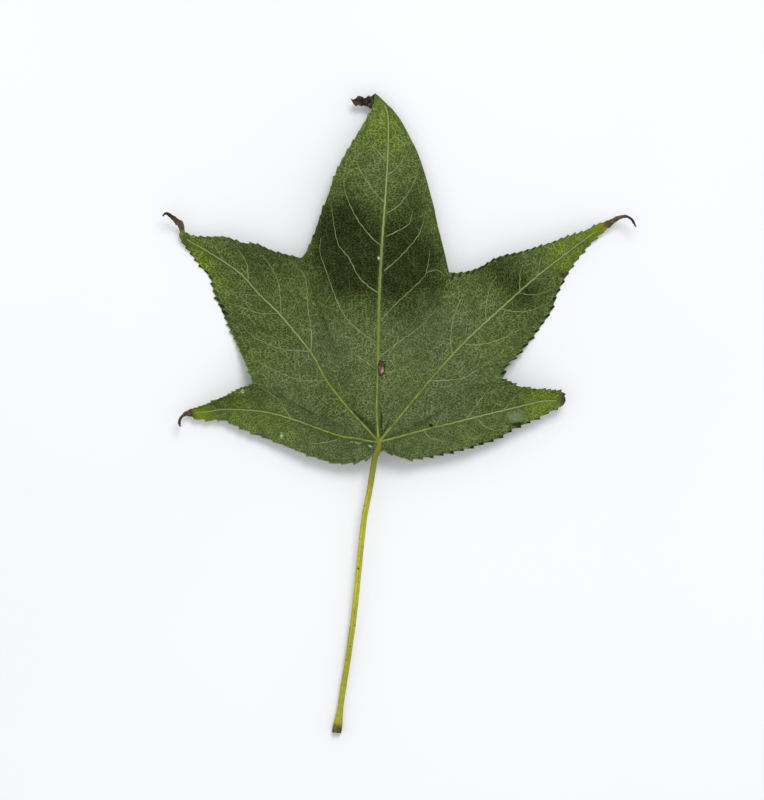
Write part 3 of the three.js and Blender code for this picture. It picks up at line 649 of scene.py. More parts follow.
class LEAF_OT_blade(bpy.types.Operator):
    """Make the green blade: five toothed lobes, thin, puckered between the veins"""

    bl_idname = "leaf.blade"
    bl_label = "Blade"

    def execute(self, context):
        rng = np.random.default_rng(sizes().seed)
        grids = [flank_grid(lobe, flank, side, rng)
                 for lobe in LOBES.values() for side, flank in zip((1, -1), lobe["flanks"])]
        quads, walls, start = [], [], 0
        for grid in grids:
            number = start + np.arange(grid["z"].size).reshape(grid["z"].shape)
            corners = [number[:-1, :-1], number[1:, :-1], number[1:, 1:], number[:-1, 1:]]
            faces = np.stack([c.ravel() for c in corners], axis=1)
            rim = np.stack([number[:-1, -1], number[1:, -1]], axis=1)[grid["open"][:-1]]
            quads.append(faces[:, ::grid["side"]])
            walls.append(rim[:, ::grid["side"]])
            start += number.size
        plan, weave = (np.vstack([grid[key].reshape(-1, 2) for grid in grids]) for key in ("plan", "weave"))
        z, peak, brown = (np.concatenate([grid[key].ravel() for grid in grids])
                          for key in ("z", "peak", "brown"))
        rounded = np.round(plan + OFF_TIES, 3)
        _, first, same = np.unique(rounded, axis=0, return_index=True, return_inverse=True)
        same = same.ravel()
        plan, z, peak, brown = plan[first], z[first], peak[first], brown[first]
        brown = np.minimum(brown + blobs(plan, BROWN_TEETH), 1)
        walls = np.vstack(walls)
        walls = walls[same[walls[:, 0]] != same[walls[:, 1]]]
        rim = same[walls]
        edge = distances(tree_of_points(plan[rim[:, 0]]), plan)
        to_main = distances(tree_of(lobe["vein"] for lobe in LOBES.values()), plan)
        to_side = distances(tree_of(vein for veins in SIDE_VEINS.values() for vein in veins), plan)
        to_vein = np.minimum(to_main, to_side)
        swell = sizes().pucker / MM * (1 - np.exp(-((to_vein / PUCKER_REACH) ** 2)))
        swell += wrinkles(plan) * smoothstep(edge, 0, CALM_RIM)
        thickness = sizes().blade_thickness / MM
        top = z + thickness + swell * smoothstep(edge, 0, FLAT_RIM) + OVER_SOLID
        low = np.maximum(top - thickness, LOWEST / MM)
        upper = to_frame(np.column_stack([plan, top]))
        lower = to_frame(np.column_stack([plan, low]))
        size = len(plan)
        faces, kinds, corners = [], [], []
        for quad in np.vstack(quads):
            ring = {}
            for corner in quad:
                ring.setdefault(int(same[corner]), int(corner))
            if len(ring) > 2:
                places, firsts = list(ring), list(ring.values())
                faces += [places, [i + size for i in reversed(places)]]
                corners += firsts + firsts[::-1]
                kinds += [0, 1]
        for (a, b), (first_a, first_b) in zip(rim, walls):
            faces.append((b, b + size, a + size, a))
            corners += [first_b, first_b, first_a, first_a]
            kinds.append(0)
        materials = [blade_material(), underside_material()]
        blade = new_piece("blade", np.vstack([upper, lower]), faces, materials, kinds)
        layer = blade.data.uv_layers.new(name="weave")
        layer.data.foreach_set("uv", weave[corners].astype(np.float32).ravel())
        values = {"edge": edge, "main": to_main, "peak": peak, "brown": brown, "crease_shade_and_glint": painted_crease_light(plan),
                  "painted_light_shade": blobs(plan, PAINTED_LIGHT_AND_SHADE), "painted_sheen": blobs(plan, PAINTED_SHEEN_SPOTS), "ripe": ripeness(plan)}
        for name, one in values.items():
            add_values(blade.data, name, np.tile(one, 2))
        return {"FINISHED"}


# In metres: a height above all of the leaf, and one close to the level of its margins
ABOVE_LEAF, NEAR_MARGINS = 0.05, 0.003


def surface():
    """Reads the height of the blade's upper face at a place in the frame."""
    blade = bpy.data.objects["blade"].data
    points = [v.co.copy() for v in blade.vertices]
    tree = BVHTree.FromPolygons(points, [tuple(p.vertices) for p in blade.polygons])

    def heights(place):
        hit = tree.ray_cast(Vector((place[0], place[1], ABOVE_LEAF)), Vector((0, 0, -1)))[0]
        if hit is None:
            hit = tree.find_nearest(Vector((place[0], place[1], NEAR_MARGINS)))[0]
        return hit.z

    return heights


def laid(curve, steps, read, end, waver):
    """A plan curve laid on the blade's upper face, as points in the frame, wavering a little."""
    share = np.linspace(0, end, steps)
    long = share * curve.length
    sway = waver * (np.sin(long * 1.9 + curve.length) + 0.6 * np.sin(long * 4.3)) * np.sin(math.pi * share)
    plan = to_frame(curve.at(share) + sway[:, None] * curve.leftwards(share))
    height = np.array([read(place) for place in plan])
    smooth = np.convolve(np.pad(height, 2, mode="edge"), np.ones(5) / 5, mode="valid")
    return np.column_stack([plan, smooth])


# How far veins stand out below the blade where they start and how far they stay off the ground, in metres,
# how high they are above the blade, as a share of half their width, and how many sides their skins have
MAIN_VEIN_KEEL, SIDE_VEIN_KEEL = 0.0007, 0.00036
KEEL_OFF_GROUND = 0.0001
VEIN_ROUNDNESS = 0.36
MAIN_VEIN_SIDES, SIDE_VEIN_SIDES = 12, 8
# In millimetres: the steps along veins and how far they waver. Main veins end just short of the tip.
MAIN_VEIN_STEP, SIDE_VEIN_STEP = 0.5, 0.4
MAIN_VEIN_WAVER, SIDE_VEIN_WAVER = 0.06, 0.09
MAIN_VEIN_END = 0.955
# The scar beside the dead spot, next to a side vein: how much wider, and how far along it its colour goes
SCAR_WIDER, SCAR_COLOUR = 1.1, 0.1


class LEAF_OT_veins(bpy.types.Operator):
    """Raise the five main veins and the side veins that branch from them, on both faces"""

    bl_idname = "leaf.veins"
    bl_label = "Veins"

    def execute(self, context):
        read = surface()
        thickness = sizes().blade_thickness
        mains, spots, olives = [], [], []
        for name, lobe in LOBES.items():
            curve = Curve(lobe["vein"])
            path = laid(curve, int(curve.length / MAIN_VEIN_STEP), read, MAIN_VEIN_END, MAIN_VEIN_WAVER)
            t = np.linspace(0, 1, len(path))
            half = sizes().main_vein_width / 2 * (0.95 - 0.38 * t**0.55)
            olive = np.zeros_like(t)
            # The top lobe's is thicker at the base, and olive and thicker from the dead spot to mid lobe
            if name == "top":
                olive = smoothstep(t, 0.12, 0.24) * (1 - smoothstep(t, 0.5, 0.75))
                half *= 1 + 0.8 * smoothstep(t, 0.2, 0.26) * (1 - 0.85 * smoothstep(t, 0.5, 0.8))
                half *= 1.5 - 0.5 * smoothstep(t, 0.0, 0.04)
            half *= 1 + 0.05 * np.sin(t * 83)
            keel = thickness + MAIN_VEIN_KEEL * (1 - 0.85 * t)
            keel = np.minimum(keel, np.maximum(path[:, 2] - KEEL_OFF_GROUND, thickness))
            mains.append(loft(path, half, half * VEIN_ROUNDNESS, keel, MAIN_VEIN_SIDES))
            spots.append(by_rings(t, MAIN_VEIN_SIDES))
            olives.append(by_rings(olive, MAIN_VEIN_SIDES, 0, 0))
        points, faces = joined(mains)
        skin = vein_material("Main vein", colours().main_vein, main_vein_layers)
        ribs = new_piece("main_veins", points, faces, [skin])
        add_values(ribs.data, "along", np.concatenate(spots))
        add_values(ribs.data, "olive", np.concatenate(olives))
        sides, spots = [], []
        for veins in [*SIDE_VEINS.values(), [LOOP_SCAR]]:
            for vein in veins:
                curve = Curve(vein)
                steps = max(int(curve.length / SIDE_VEIN_STEP), 8)
                path = laid(curve, steps, read, 1, SIDE_VEIN_WAVER)
                t = np.linspace(0, 1, len(path))
                half = sizes().side_vein_width / 2 * (1 - 0.55 * t) * (SCAR_WIDER if vein is LOOP_SCAR else 1)
                half *= 0.75 + 0.25 * smoothstep(curve.length, 4, 14)
                keel = thickness + SIDE_VEIN_KEEL * (1 - 0.6 * t)
                sides.append(loft(path, half, half * VEIN_ROUNDNESS, keel, SIDE_VEIN_SIDES))
                spots.append(by_rings(t, SIDE_VEIN_SIDES) * (SCAR_COLOUR if vein is LOOP_SCAR else 1))
        points, faces = joined(sides)
        skin = vein_material("Side vein", colours().side_vein, side_vein_layers)
        ribs = new_piece("side_veins", points, faces, [skin])
        add_values(ribs.data, "along", np.concatenate(spots))
        return {"FINISHED"}


# Shares of the top lobe's right margin between which the lip runs, and its number of steps and sides
LIP_START, LIP_END, LIP_STEPS, LIP_SIDES = 0.03, 0.985, 170, 12
# How far inwards from the margin the lip lies, in millimetres. In metres: half its width, how far below
# the upper face it lies, and how much farther next to the tip.
LIP_INSET = 0.32
LIP_HALF_WIDTH, LIP_DROP, LIP_TIP_DROP = 0.00034, 0.00034, 0.0001


class LEAF_OT_folded_edge(bpy.types.Operator):
    """Roll the top lobe's right edge under, as a slim lip along it"""

    bl_idname = "leaf.folded_edge"
    bl_label = "Folded edge"

    def execute(self, context):
        read = surface()
        curve = margin_of(LOBES["top"], LOBES["top"]["flanks"][1])
        t = np.linspace(LIP_START, LIP_END, LIP_STEPS)
        plan = to_frame(curve.at(t) + LIP_INSET * curve.leftwards(t))
        drop = LIP_DROP + LIP_TIP_DROP * smoothstep(t, 0.7, 1)
        path = np.column_stack([plan, [read(place) for place in plan] - drop])
        half = LIP_HALF_WIDTH * (1 + 0.12 * np.sin(41 * t)) * (0.45 + 0.55 * smoothstep(t, LIP_START, 0.2))
        points, faces = loft(path, half, half * 0.75, half * 0.9, LIP_SIDES)
        lip = new_piece("folded_edge", points, faces, [fold_material()])
        add_values(lip.data, "along", by_rings(t, LIP_SIDES))
        return {"FINISHED"}


STALK_STEPS, STALK_SIDES = 200, 24
# How much thicker the stalk is at the blade and at the cut end, and how much flatter above and below
BLADE_END_THICKER, CUT_END_THICKER = 0.1, 0.55
STALK_ABOVE, STALK_BELOW = 0.92, 0.95
# Where round the stalk its groove lies, how wide it is, both in radians, and how deep, as a share
GROOVE_ANGLE, GROOVE_WIDTH, GROOVE_DEPTH = 1.75, 0.35, 0.2


class LEAF_OT_stalk(bpy.types.Operator):
    """Make the stalk: slim, slightly bent and grooved, with a thicker, dried cut end"""

    bl_idname = "leaf.stalk"
    bl_label = "Stalk"

    def execute(self, context):
        t = np.linspace(0, 1, STALK_STEPS)
        path = to_frame(Curve(STALK).at(t))
        thick = 1 + BLADE_END_THICKER * (1 - smoothstep(t, 0, 0.1))
        thick += CUT_END_THICKER * smoothstep(t, 0.9, 0.99)
        thick *= sizes().stalk_radius
        thick *= (1 + 0.02 * np.sin(t * 61) + 0.015 * np.sin(t * 137)) * smoothstep(t, -0.012, 0.006)
        angle = np.linspace(0, 2 * math.pi, STALK_SIDES, endpoint=False)
        groove = np.exp(-((angle - GROOVE_ANGLE) / GROOVE_WIDTH) ** 2)[None, :]
        rough = smoothstep(t, 0.96, 0.985)[:, None] * np.sin(5 * angle + 2.0)[None, :]
        form = 1 - GROOVE_DEPTH * groove * smoothstep(t, 0.03, 0.15)[:, None] + 0.1 * rough
        points, faces = loft(path, thick, thick * STALK_ABOVE, thick * STALK_BELOW, STALK_SIDES, 0.0, form)
        stalk = new_piece("stalk", points, faces, [stalk_material()])
        round_it = np.concatenate([np.tile(angle, len(t)), [0, 0]])
        add_values(stalk.data, "along", by_rings(t, STALK_SIDES))
        add_values(stalk.data, "round", np.cos(round_it))
        return {"FINISHED"}


TIP_STEPS, TIP_SIDES = 90, 20
# How thick a dried tip is above and below its middle line at most, in metres
TIP_THICKNESS = 0.00045
# The groove that winds along a dried tip, as the stalk's is given, and the depth of its three long folds
TIP_GROOVE_ANGLE, TIP_GROOVE_WIDTH, TIP_GROOVE_DEPTH = 1.2, 0.4, 0.26
TIP_FOLD_DEPTH = 0.09
# How far, in radians, a dried tip is twisted beyond its start
TIP_TWIST = 0.7


class LEAF_OT_dried_tips(bpy.types.Operator):
    """Make the brown tips of the side lobes, which have dried, rolled up and curled"""

    bl_idname = "leaf.dried_tips"
    bl_label = "Dried tips"

    def execute(self, context):
        material = dried_material()
        angle = np.linspace(0, 2 * math.pi, TIP_SIDES, endpoint=False)
        for name, (line, half_widths, brown_from) in CURLS.items():
            curve = Curve(line)
            t = np.linspace(0, 1, TIP_STEPS)
            path = to_frame(curve.at(t))
            half = along_steps(half_widths, t) * MM * (1 + 0.06 * np.sin(31 * t) + 0.05 * np.sin(57 * t + 1))
            thin = np.minimum(TIP_THICKNESS, half * 0.7) * smoothstep(t, -0.2, 0.25)
            beside = (angle - TIP_GROOVE_ANGLE)[None, :] - 0.5 * np.sin(5 * t)[:, None]
            groove = TIP_GROOVE_DEPTH * np.exp(-(beside / TIP_GROOVE_WIDTH) ** 2)
            folds = TIP_FOLD_DEPTH * np.sin(3 * angle[None, :] + 9 * t[:, None])
            folds = folds * smoothstep(t, 0.1, 0.4)[:, None]
            form = 1 - groove * smoothstep(t, 0.1, 0.3)[:, None] + folds
            below = thin * smoothstep(t, -0.08, 0.28)
            turns = TIP_TWIST * smoothstep(t, 0.1, 0.6)
            points, faces = loft(path, half, thin, below, TIP_SIDES, turns, form)
            tip = new_piece(f"dried_tip_{name}", points, faces, [material])
            dry = by_rings(t, TIP_SIDES)
            add_values(tip.data, "dry", dry)
            add_values(tip.data, "ripe", (dry - brown_from) * curve.length)
        return {"FINISHED"}


# In millimetres: how high the crumpled tip lies where it is folded over, how much higher it ends, how
# ragged it is and how thick
CRUMPLE_LEVEL, CRUMPLE_RISE, CRUMPLE_RAGS, CRUMPLE_THICKNESS = 2.75, 0.5, 0.11, 0.16
CRUMPLE_STEPS, CRUMPLE_COLUMNS = 72, 16


class LEAF_OT_crumpled_tip(bpy.types.Operator):
    """Make the top lobe's dead tip, folded under the blade to the left, dark, ragged and crumpled"""

    bl_idname = "leaf.crumpled_tip"
    bl_label = "Crumpled tip"

    def execute(self, context):
        rng = np.random.default_rng(sizes().seed + 1)
        steps, columns = CRUMPLE_STEPS, CRUMPLE_COLUMNS
        share = np.linspace(0, 1, steps)
        upper, lower = (Curve(edge).at(share) for edge in CRUMPLED_EDGES)
        ragged = rng.normal(0, CRUMPLE_RAGS, (steps, 2)) * smoothstep(share, 0.15, 0.35)[:, None]
        v = np.linspace(0, 1, columns)
        plan = upper[:, None] + (lower - upper)[:, None] * v[None, :, None]
        plan[:, 0] += ragged
        plan[:, -1] -= ragged[::-1]
        x, y = plan[..., 0], plan[..., 1]
        z = CRUMPLE_LEVEL + CRUMPLE_RISE * smoothstep(share, 0.3, 0.9)[:, None] + 0 * x
        # Waves that cross one another crumple the sheet, in millimetres
        fold = 0.34 * np.sin(2.3 * x + 1.1 * y) + 0.22 * np.sin(4.1 * x - 3.3 * y + 0.7)
        fold += 0.3 * np.abs(np.sin(1.4 * x + 0.4)) + 0.1 * np.sin(9 * x + 7 * y)
        z += fold * smoothstep(share, 0.25, 0.5)[:, None]
        sheet = np.concatenate([plan, z[..., None]], axis=-1).reshape(-1, 3)
        thin = np.array([0, 0, CRUMPLE_THICKNESS])
        number = np.arange(steps * columns).reshape(steps, columns)
        size = steps * columns
        faces = []
        for a, b, c, d in zip(number[:-1, :-1].ravel(), number[1:, :-1].ravel(), number[1:, 1:].ravel(),
                              number[:-1, 1:].ravel()):
            faces += [(a, b, c, d), (d + size, c + size, b + size, a + size)]
        around = np.concatenate([number[0, ::-1], number[1:, 0], number[-1, 1:], number[-2::-1, -1]])
        for a, b in zip(around[:-1], around[1:]):
            faces.append((b, a, a + size, b + size))
        points = to_frame(np.vstack([sheet + thin, sheet]))
        tip = new_piece("crumpled_tip", points, faces, [crumpled_material()])
        add_values(tip.data, "out", np.tile(np.repeat(share, columns), 2))
        return {"FINISHED"}


# How many rings the dead spot has and how many points on each. In millimetres: how high its swollen ring
# and its middle are, how high its edge is, and how far down into the blade it goes
SPOT_RINGS, SPOT_SIDES = 9, 36
SPOT_SWELLING, SPOT_MIDDLE, SPOT_EDGE, SPOT_ROOT = 0.28, 0.1, 0.02, 0.15


class LEAF_OT_scab(bpy.types.Operator):
    """Raise the small dead spot beside the top lobe's main vein"""

    bl_idname = "leaf.scab"
    bl_label = "Dead spot"

    def execute(self, context):
        read = surface()
        (x, y), (reach_x, reach_y) = SCAB
        rings, sides = SPOT_RINGS, SPOT_SIDES
        angle = np.linspace(0, 2 * math.pi, sides, endpoint=False)
        rim = 1 + 0.06 * np.sin(3 * angle + 1) + 0.05 * np.sin(7 * angle) + 0.03 * np.sin(13 * angle)
        plan = [(x, y)]
        rise = [0.10]
        for ring in range(1, rings + 1):
            share = ring / rings
            dome = SPOT_SWELLING * math.exp(-((share - 0.8) / 0.17) ** 2) + SPOT_MIDDLE * (1 - share)
            for turn, reach in zip(angle, rim):
                plan.append((x + reach_x * share * reach * math.cos(turn),
                             y + reach_y * share * reach * math.sin(turn)))
                rise.append(dome + 0.03 * math.sin(5 * turn + 6 * share))
        flat = to_frame(np.array(plan))
        level = np.array([read(place) for place in flat])
        up = level + np.array(rise) * MM
        up[-sides:] = level[-sides:] + SPOT_EDGE * MM
        down = level - SPOT_ROOT * MM
        size = len(plan)
        faces = []
        for i in range(sides):
            j = (i + 1) % sides
            faces += [(0, 1 + i, 1 + j), (size, size + 1 + j, size + 1 + i)]
            for ring in range(rings - 1):
                a, b = 1 + ring * sides, 1 + (ring + 1) * sides
                ring_face = (a + i, b + i, b + j, a + j)
                faces += [ring_face, tuple(size + k for k in reversed(ring_face))]
            last = 1 + (rings - 1) * sides
            faces.append((last + i, size + last + i, size + last + j, last + j))
        points = np.vstack([np.column_stack([flat, up]), np.column_stack([flat, down])])
        spot = new_piece("dead_spot", points, faces, [scab_material()])
        out = np.concatenate([[0], np.repeat(np.arange(1, rings + 1) / rings, sides)])
        add_values(spot.data, "out", np.tile(out, 2))
        return {"FINISHED"}


# The view from straight above: the plan point at its centre and, in metres, what its height takes in at
# the leaf's level, that level, the lens and its sensor. Then the width of the white surface.
VIEW_CENTRE = (1.1, 13.3)
VIEW_HEIGHT = 0.2532
VIEW_LEVEL = 0.005
LENS = 0.2
SENSOR = 0.036
FLOOR_SIZE = 4.0
# The soft light from above: its place, how wide it is and its power in watts
KEY_PLACE, KEY_WIDTH, KEY_POWER = (0.6, 1.5, 2.2), 1.3, 36
# The light from all round
ROOM_COLOUR, ROOM_STRENGTH = (0.97, 0.98, 1.0, 1), 0.77


class LEAF_OT_stage(bpy.types.Operator):
    """Set the white surface, the soft lights and the camera that looks straight down"""

    bl_idname = "leaf.stage"
    bl_label = "Stage"

    def execute(self, context):
        deselect_all()
        bpy.ops.mesh.primitive_plane_add(size=FLOOR_SIZE, location=(0, 0, 0))
        floor = context.object
        floor.name = "floor"
        floor.data.materials.append(floor_material())
        bpy.ops.object.light_add(type="AREA", location=KEY_PLACE)
        key = context.object
        key.data.shape = "DISK"
        key.data.size = KEY_WIDTH
        key.data.energy = KEY_POWER
        key.rotation_euler = (Vector((0, 0, 0)) - key.location).to_track_quat("-Z", "Y").to_euler()
        world = bpy.data.worlds.new("Studio")
        context.scene.world = world
        world.use_nodes = True
        room = world.node_tree.nodes["Background"].inputs
        room["Color"].default_value = ROOM_COLOUR
        room["Strength"].default_value = ROOM_STRENGTH
        view = context.scene.view_settings
        view.view_transform = "Standard"
        view.look = "None"
        middle = to_frame(VIEW_CENTRE)
        distance = LENS * VIEW_HEIGHT / SENSOR
        bpy.ops.object.camera_add(location=(*middle, distance + VIEW_LEVEL), rotation=(0, 0, 0))
        camera = context.object
        camera.data.lens = LENS * 1000
        camera.data.sensor_width = SENSOR * 1000
        camera.data.clip_end = 20
        context.scene.camera = camera
        return {"FINISHED"}


def put(value, socket):
    """Link what a node gives to a socket, or set a plain number or colour on the socket."""
    if isinstance(value, Value):
        socket.id_data.links.new(value.socket, socket)
    elif hasattr(value, "__len__"):
        socket.default_value = (*value, 1.0) if len(socket.default_value) == 4 else tuple(value)
    else:
        socket.default_value = value


def add_node(tree, kind, output, inputs, **settings):
    """Add a node with its settings, and its inputs by name or number, and return one of its outputs."""
    node = tree.nodes.new("ShaderNode" + kind)
    for name, setting in settings.items():
        setattr(node, name, setting)
    for name, value in inputs.items():
        put(value, node.inputs[name])
    return Value(node.outputs[output])


class Value:
    """What a node of a material gives to the next one. Sums with it add Math nodes."""

    def __init__(self, socket):
        self.socket = socket

    def math(self, operation, *values):
        return add_node(self.socket.id_data, "Math", 0, dict(enumerate(values)), operation=operation)

    def __add__(self, other):
        return self.math("ADD", self, other)

    def __sub__(self, other):
        return self.math("SUBTRACT", self, other)

    def __rsub__(self, other):
        return self.math("SUBTRACT", other, self)

    def __mul__(self, other):
        return self.math("MULTIPLY", self, other)

    def magnitude(self):
        return self.math("ABSOLUTE", self)

    def highest(self, other):
        return self.math("MAXIMUM", self, other)

    def step(self, low, high, to_low=0.0, to_high=1.0):
        """A smooth step from one number to another, as this value goes from low to high."""
        inputs = {"Value": self, "From Min": low, "From Max": high, "To Min": to_low, "To Max": to_high}
        return add_node(self.socket.id_data, "MapRange", "Result", inputs, interpolation_type="SMOOTHSTEP")


class Finish:
    """A new material and the nodes that colour it. Patterns lie on the object's own coordinates."""

    def __init__(self, name):
        self.material = bpy.data.materials.new(name)
        self.material.use_nodes = True
        self.place = self.node("TexCoord", "Object", {})

    def node(self, kind, output, inputs, **settings):
        return add_node(self.material.node_tree, kind, output, inputs, **settings)

    def attribute(self, name):
        return self.node("Attribute", "Fac", {}, attribute_name=name)

    def noise(self, scale, detail=3.0, roughness=0.55):
        inputs = {"Vector": self.place, "Scale": scale, "Detail": detail, "Roughness": roughness}
        return self.node("TexNoise", "Fac", inputs)

    def cell_edges(self, place, scale):
        """Distance to the edge of the nearest cell of a flat net."""
        return self.node("TexVoronoi", "Distance", {"Vector": place, "Scale": scale},
                         voronoi_dimensions="2D", feature="DISTANCE_TO_EDGE")

    def warped(self, scale, amount, place=None):
        """Coordinates pushed about a little, so that a net's cells aren't straight sided."""
        push = self.node("TexNoise", "Color", {"Vector": self.place, "Scale": scale})
        inputs = {0: push, 1: (amount, amount, amount), 2: place or self.place}
        return self.node("VectorMath", "Vector", inputs, operation="MULTIPLY_ADD")

    def scaled(self, place, factors):
        return self.node("VectorMath", "Vector", {0: place, 1: factors}, operation="MULTIPLY")

    def away(self, place, centre, reach):
        """How far a place is from a centre in plan, where 1 is the reach across and up."""
        offset = self.node("VectorMath", "Vector", {0: place, 1: (*centre, 0)}, operation="SUBTRACT")
        inputs = {0: self.scaled(offset, (1 / reach[0], 1 / reach[1], 0))}
        return self.node("VectorMath", "Value", inputs, operation="LENGTH")

    def blend(self, share, first, second, mode="MIX"):
        """One colour over another."""
        return self.node("Mix", 2, {0: share, 6: first, 7: second}, data_type="RGBA", blend_type=mode)

    def over(self, skin, *layers):
        """Paint layers over a colour, each given as its share and its own colour."""
        for share, colour in layers:
            skin = self.blend(share, skin, colour)
        return skin

    def done(self, skin, roughness, gloss, height=None, depth=0.0, strength=1.0):
        """The material with its colour, roughness and gloss, and with bumps up to a depth in metres."""
        sockets = self.material.node_tree.nodes["Principled BSDF"].inputs
        put(skin, sockets["Base Color"])
        put(roughness, sockets["Roughness"])
        put(gloss, sockets["Specular IOR Level"])
        if height:
            inputs = {"Strength": strength, "Distance": depth, "Height": height}
            put(self.node("Bump", "Normal", inputs), sockets["Normal"])
        return self.material


def tinted(colour, factors):
    return tuple(np.multiply(colour, factors))


def nets(finish):
    """The blade's nets of small veins: two fine ones, and a coarse one from main vein to margin."""
    weave = finish.node("UVMap", "UV", {}, uv_map="weave")
    rows = finish.scaled(finish.warped(600, 0.009, weave), (0.5, 1.0, 1.0))
    fine = finish.cell_edges(rows, 142).step(0.02, 0.2, 1.0, 0.0)
    small = finish.cell_edges(finish.warped(500, 0.0009), 1100).step(0.02, 0.2, 1.0, 0.0)
    across = finish.scaled(finish.warped(300, 0.016, weave), (0.42, 1.0, 1.0))
    coarse = finish.cell_edges(across, 27).step(0.0, 0.06, 1.0, 0.0)
    return fine, small, coarse


# How far, in metres, the outline of a mark on the blade strays
MARK_STRAY = 0.0011


def marked(finish, skin, marks):
    """A face with marks painted over it."""
    ragged = finish.warped(1300, MARK_STRAY)
    for centre, reach, colour, strength in marks:
        away = finish.away(ragged, to_frame(centre) + MARK_STRAY / 2, [MM * part for part in reach])
        skin = finish.blend(away.step(0.45, 1.2, strength, 0.0), skin, colour)
    return skin


def browned(finish, skin):
    """Colour that turns yellow green, then brown, towards a dried tip."""
    dried = colours().dried
    ripe, drift = finish.attribute("ripe"), finish.noise(1100, 3)
    front = drift * 2.4 + (ripe - 1.2)
    ragged = drift * 4.0 + (ripe - 2.0)
    return finish.over(
        skin,
        (ragged.step(-RIPENS, -1.0, 0.0, 0.8), colours().ripe),
        (front.step(-0.9, 0.1), OCHRE),
        (front.step(-0.1, 0.6), finish.blend(drift.step(0.3, 0.7), tinted(dried, 0.5), tinted(dried, 1.45))))


# How much brighter the net of fine veins is than the cells between them: the small veins are paler, and
# the cells get painted shade
NET_CONTRAST = 1.8
# Colours that are mixed into those of the panel, in small places
OCHRE = (0.16, 0.12, 0.02)
BESIDE_MAIN_VEIN = (0.080, 0.122, 0.022)
RIM = (0.20, 0.25, 0.06)
PAINTED_FOLD_SHADE = (0.012, 0.020, 0.003)
FOLD_GLINT = (0.38, 0.50, 0.40)
BROWN_TOOTH = (0.018, 0.014, 0.006)
GREEN_TOOTH = (0.30, 0.35, 0.09)
NET_BELOW = (0.32, 0.40, 0.20)
YELLOWER_NET = (0.95, 1, 0.85)
PALE_MAIN_VEIN = (0.245, 0.300, 0.115)
OLIVE_MAIN_VEIN = (0.140, 0.185, 0.032)
STALK_SIDE = (0.22, 0.235, 0.018)
STALK_LOWER = (0.27, 0.265, 0.028)
STALK_UPPER = (0.150, 0.150, 0.020)
STALK_CLOUD = (0.16, 0.17, 0.015)
STALK_SPECK = (0.04, 0.03, 0.008)
CUT_RIM = (0.15, 0.12, 0.03)
CUT_END = (0.03, 0.022, 0.008)
BLACKENED = (0.022, 0.014, 0.011)
FOLD_DARK, FOLD_LIGHT, FOLD_NEAR_TIP = (0.045, 0.062, 0.016), (0.085, 0.115, 0.034), (0.10, 0.115, 0.055)
CRUMPLE_DARK, CRUMPLE_BROWN, CRUMPLE_PALE = (0.010, 0.008, 0.006), (0.085, 0.058, 0.036), (0.22, 0.16, 0.11)
SCAB_DARK, SCAB_BROWN, SCAB_PAINTED_HIGHLIGHT = (0.045, 0.018, 0.013), (0.15, 0.068, 0.046), (0.48, 0.27, 0.20)
SCAB_RIM = (0.010, 0.007, 0.005)
FLOOR_COLOURS = (0.84, 0.848, 0.868), (0.865, 0.87, 0.885)
# The plan point round which the dead spot gets a painted highlight
SCAB_HIGHLIGHT_AT = (1.4, 22.4)


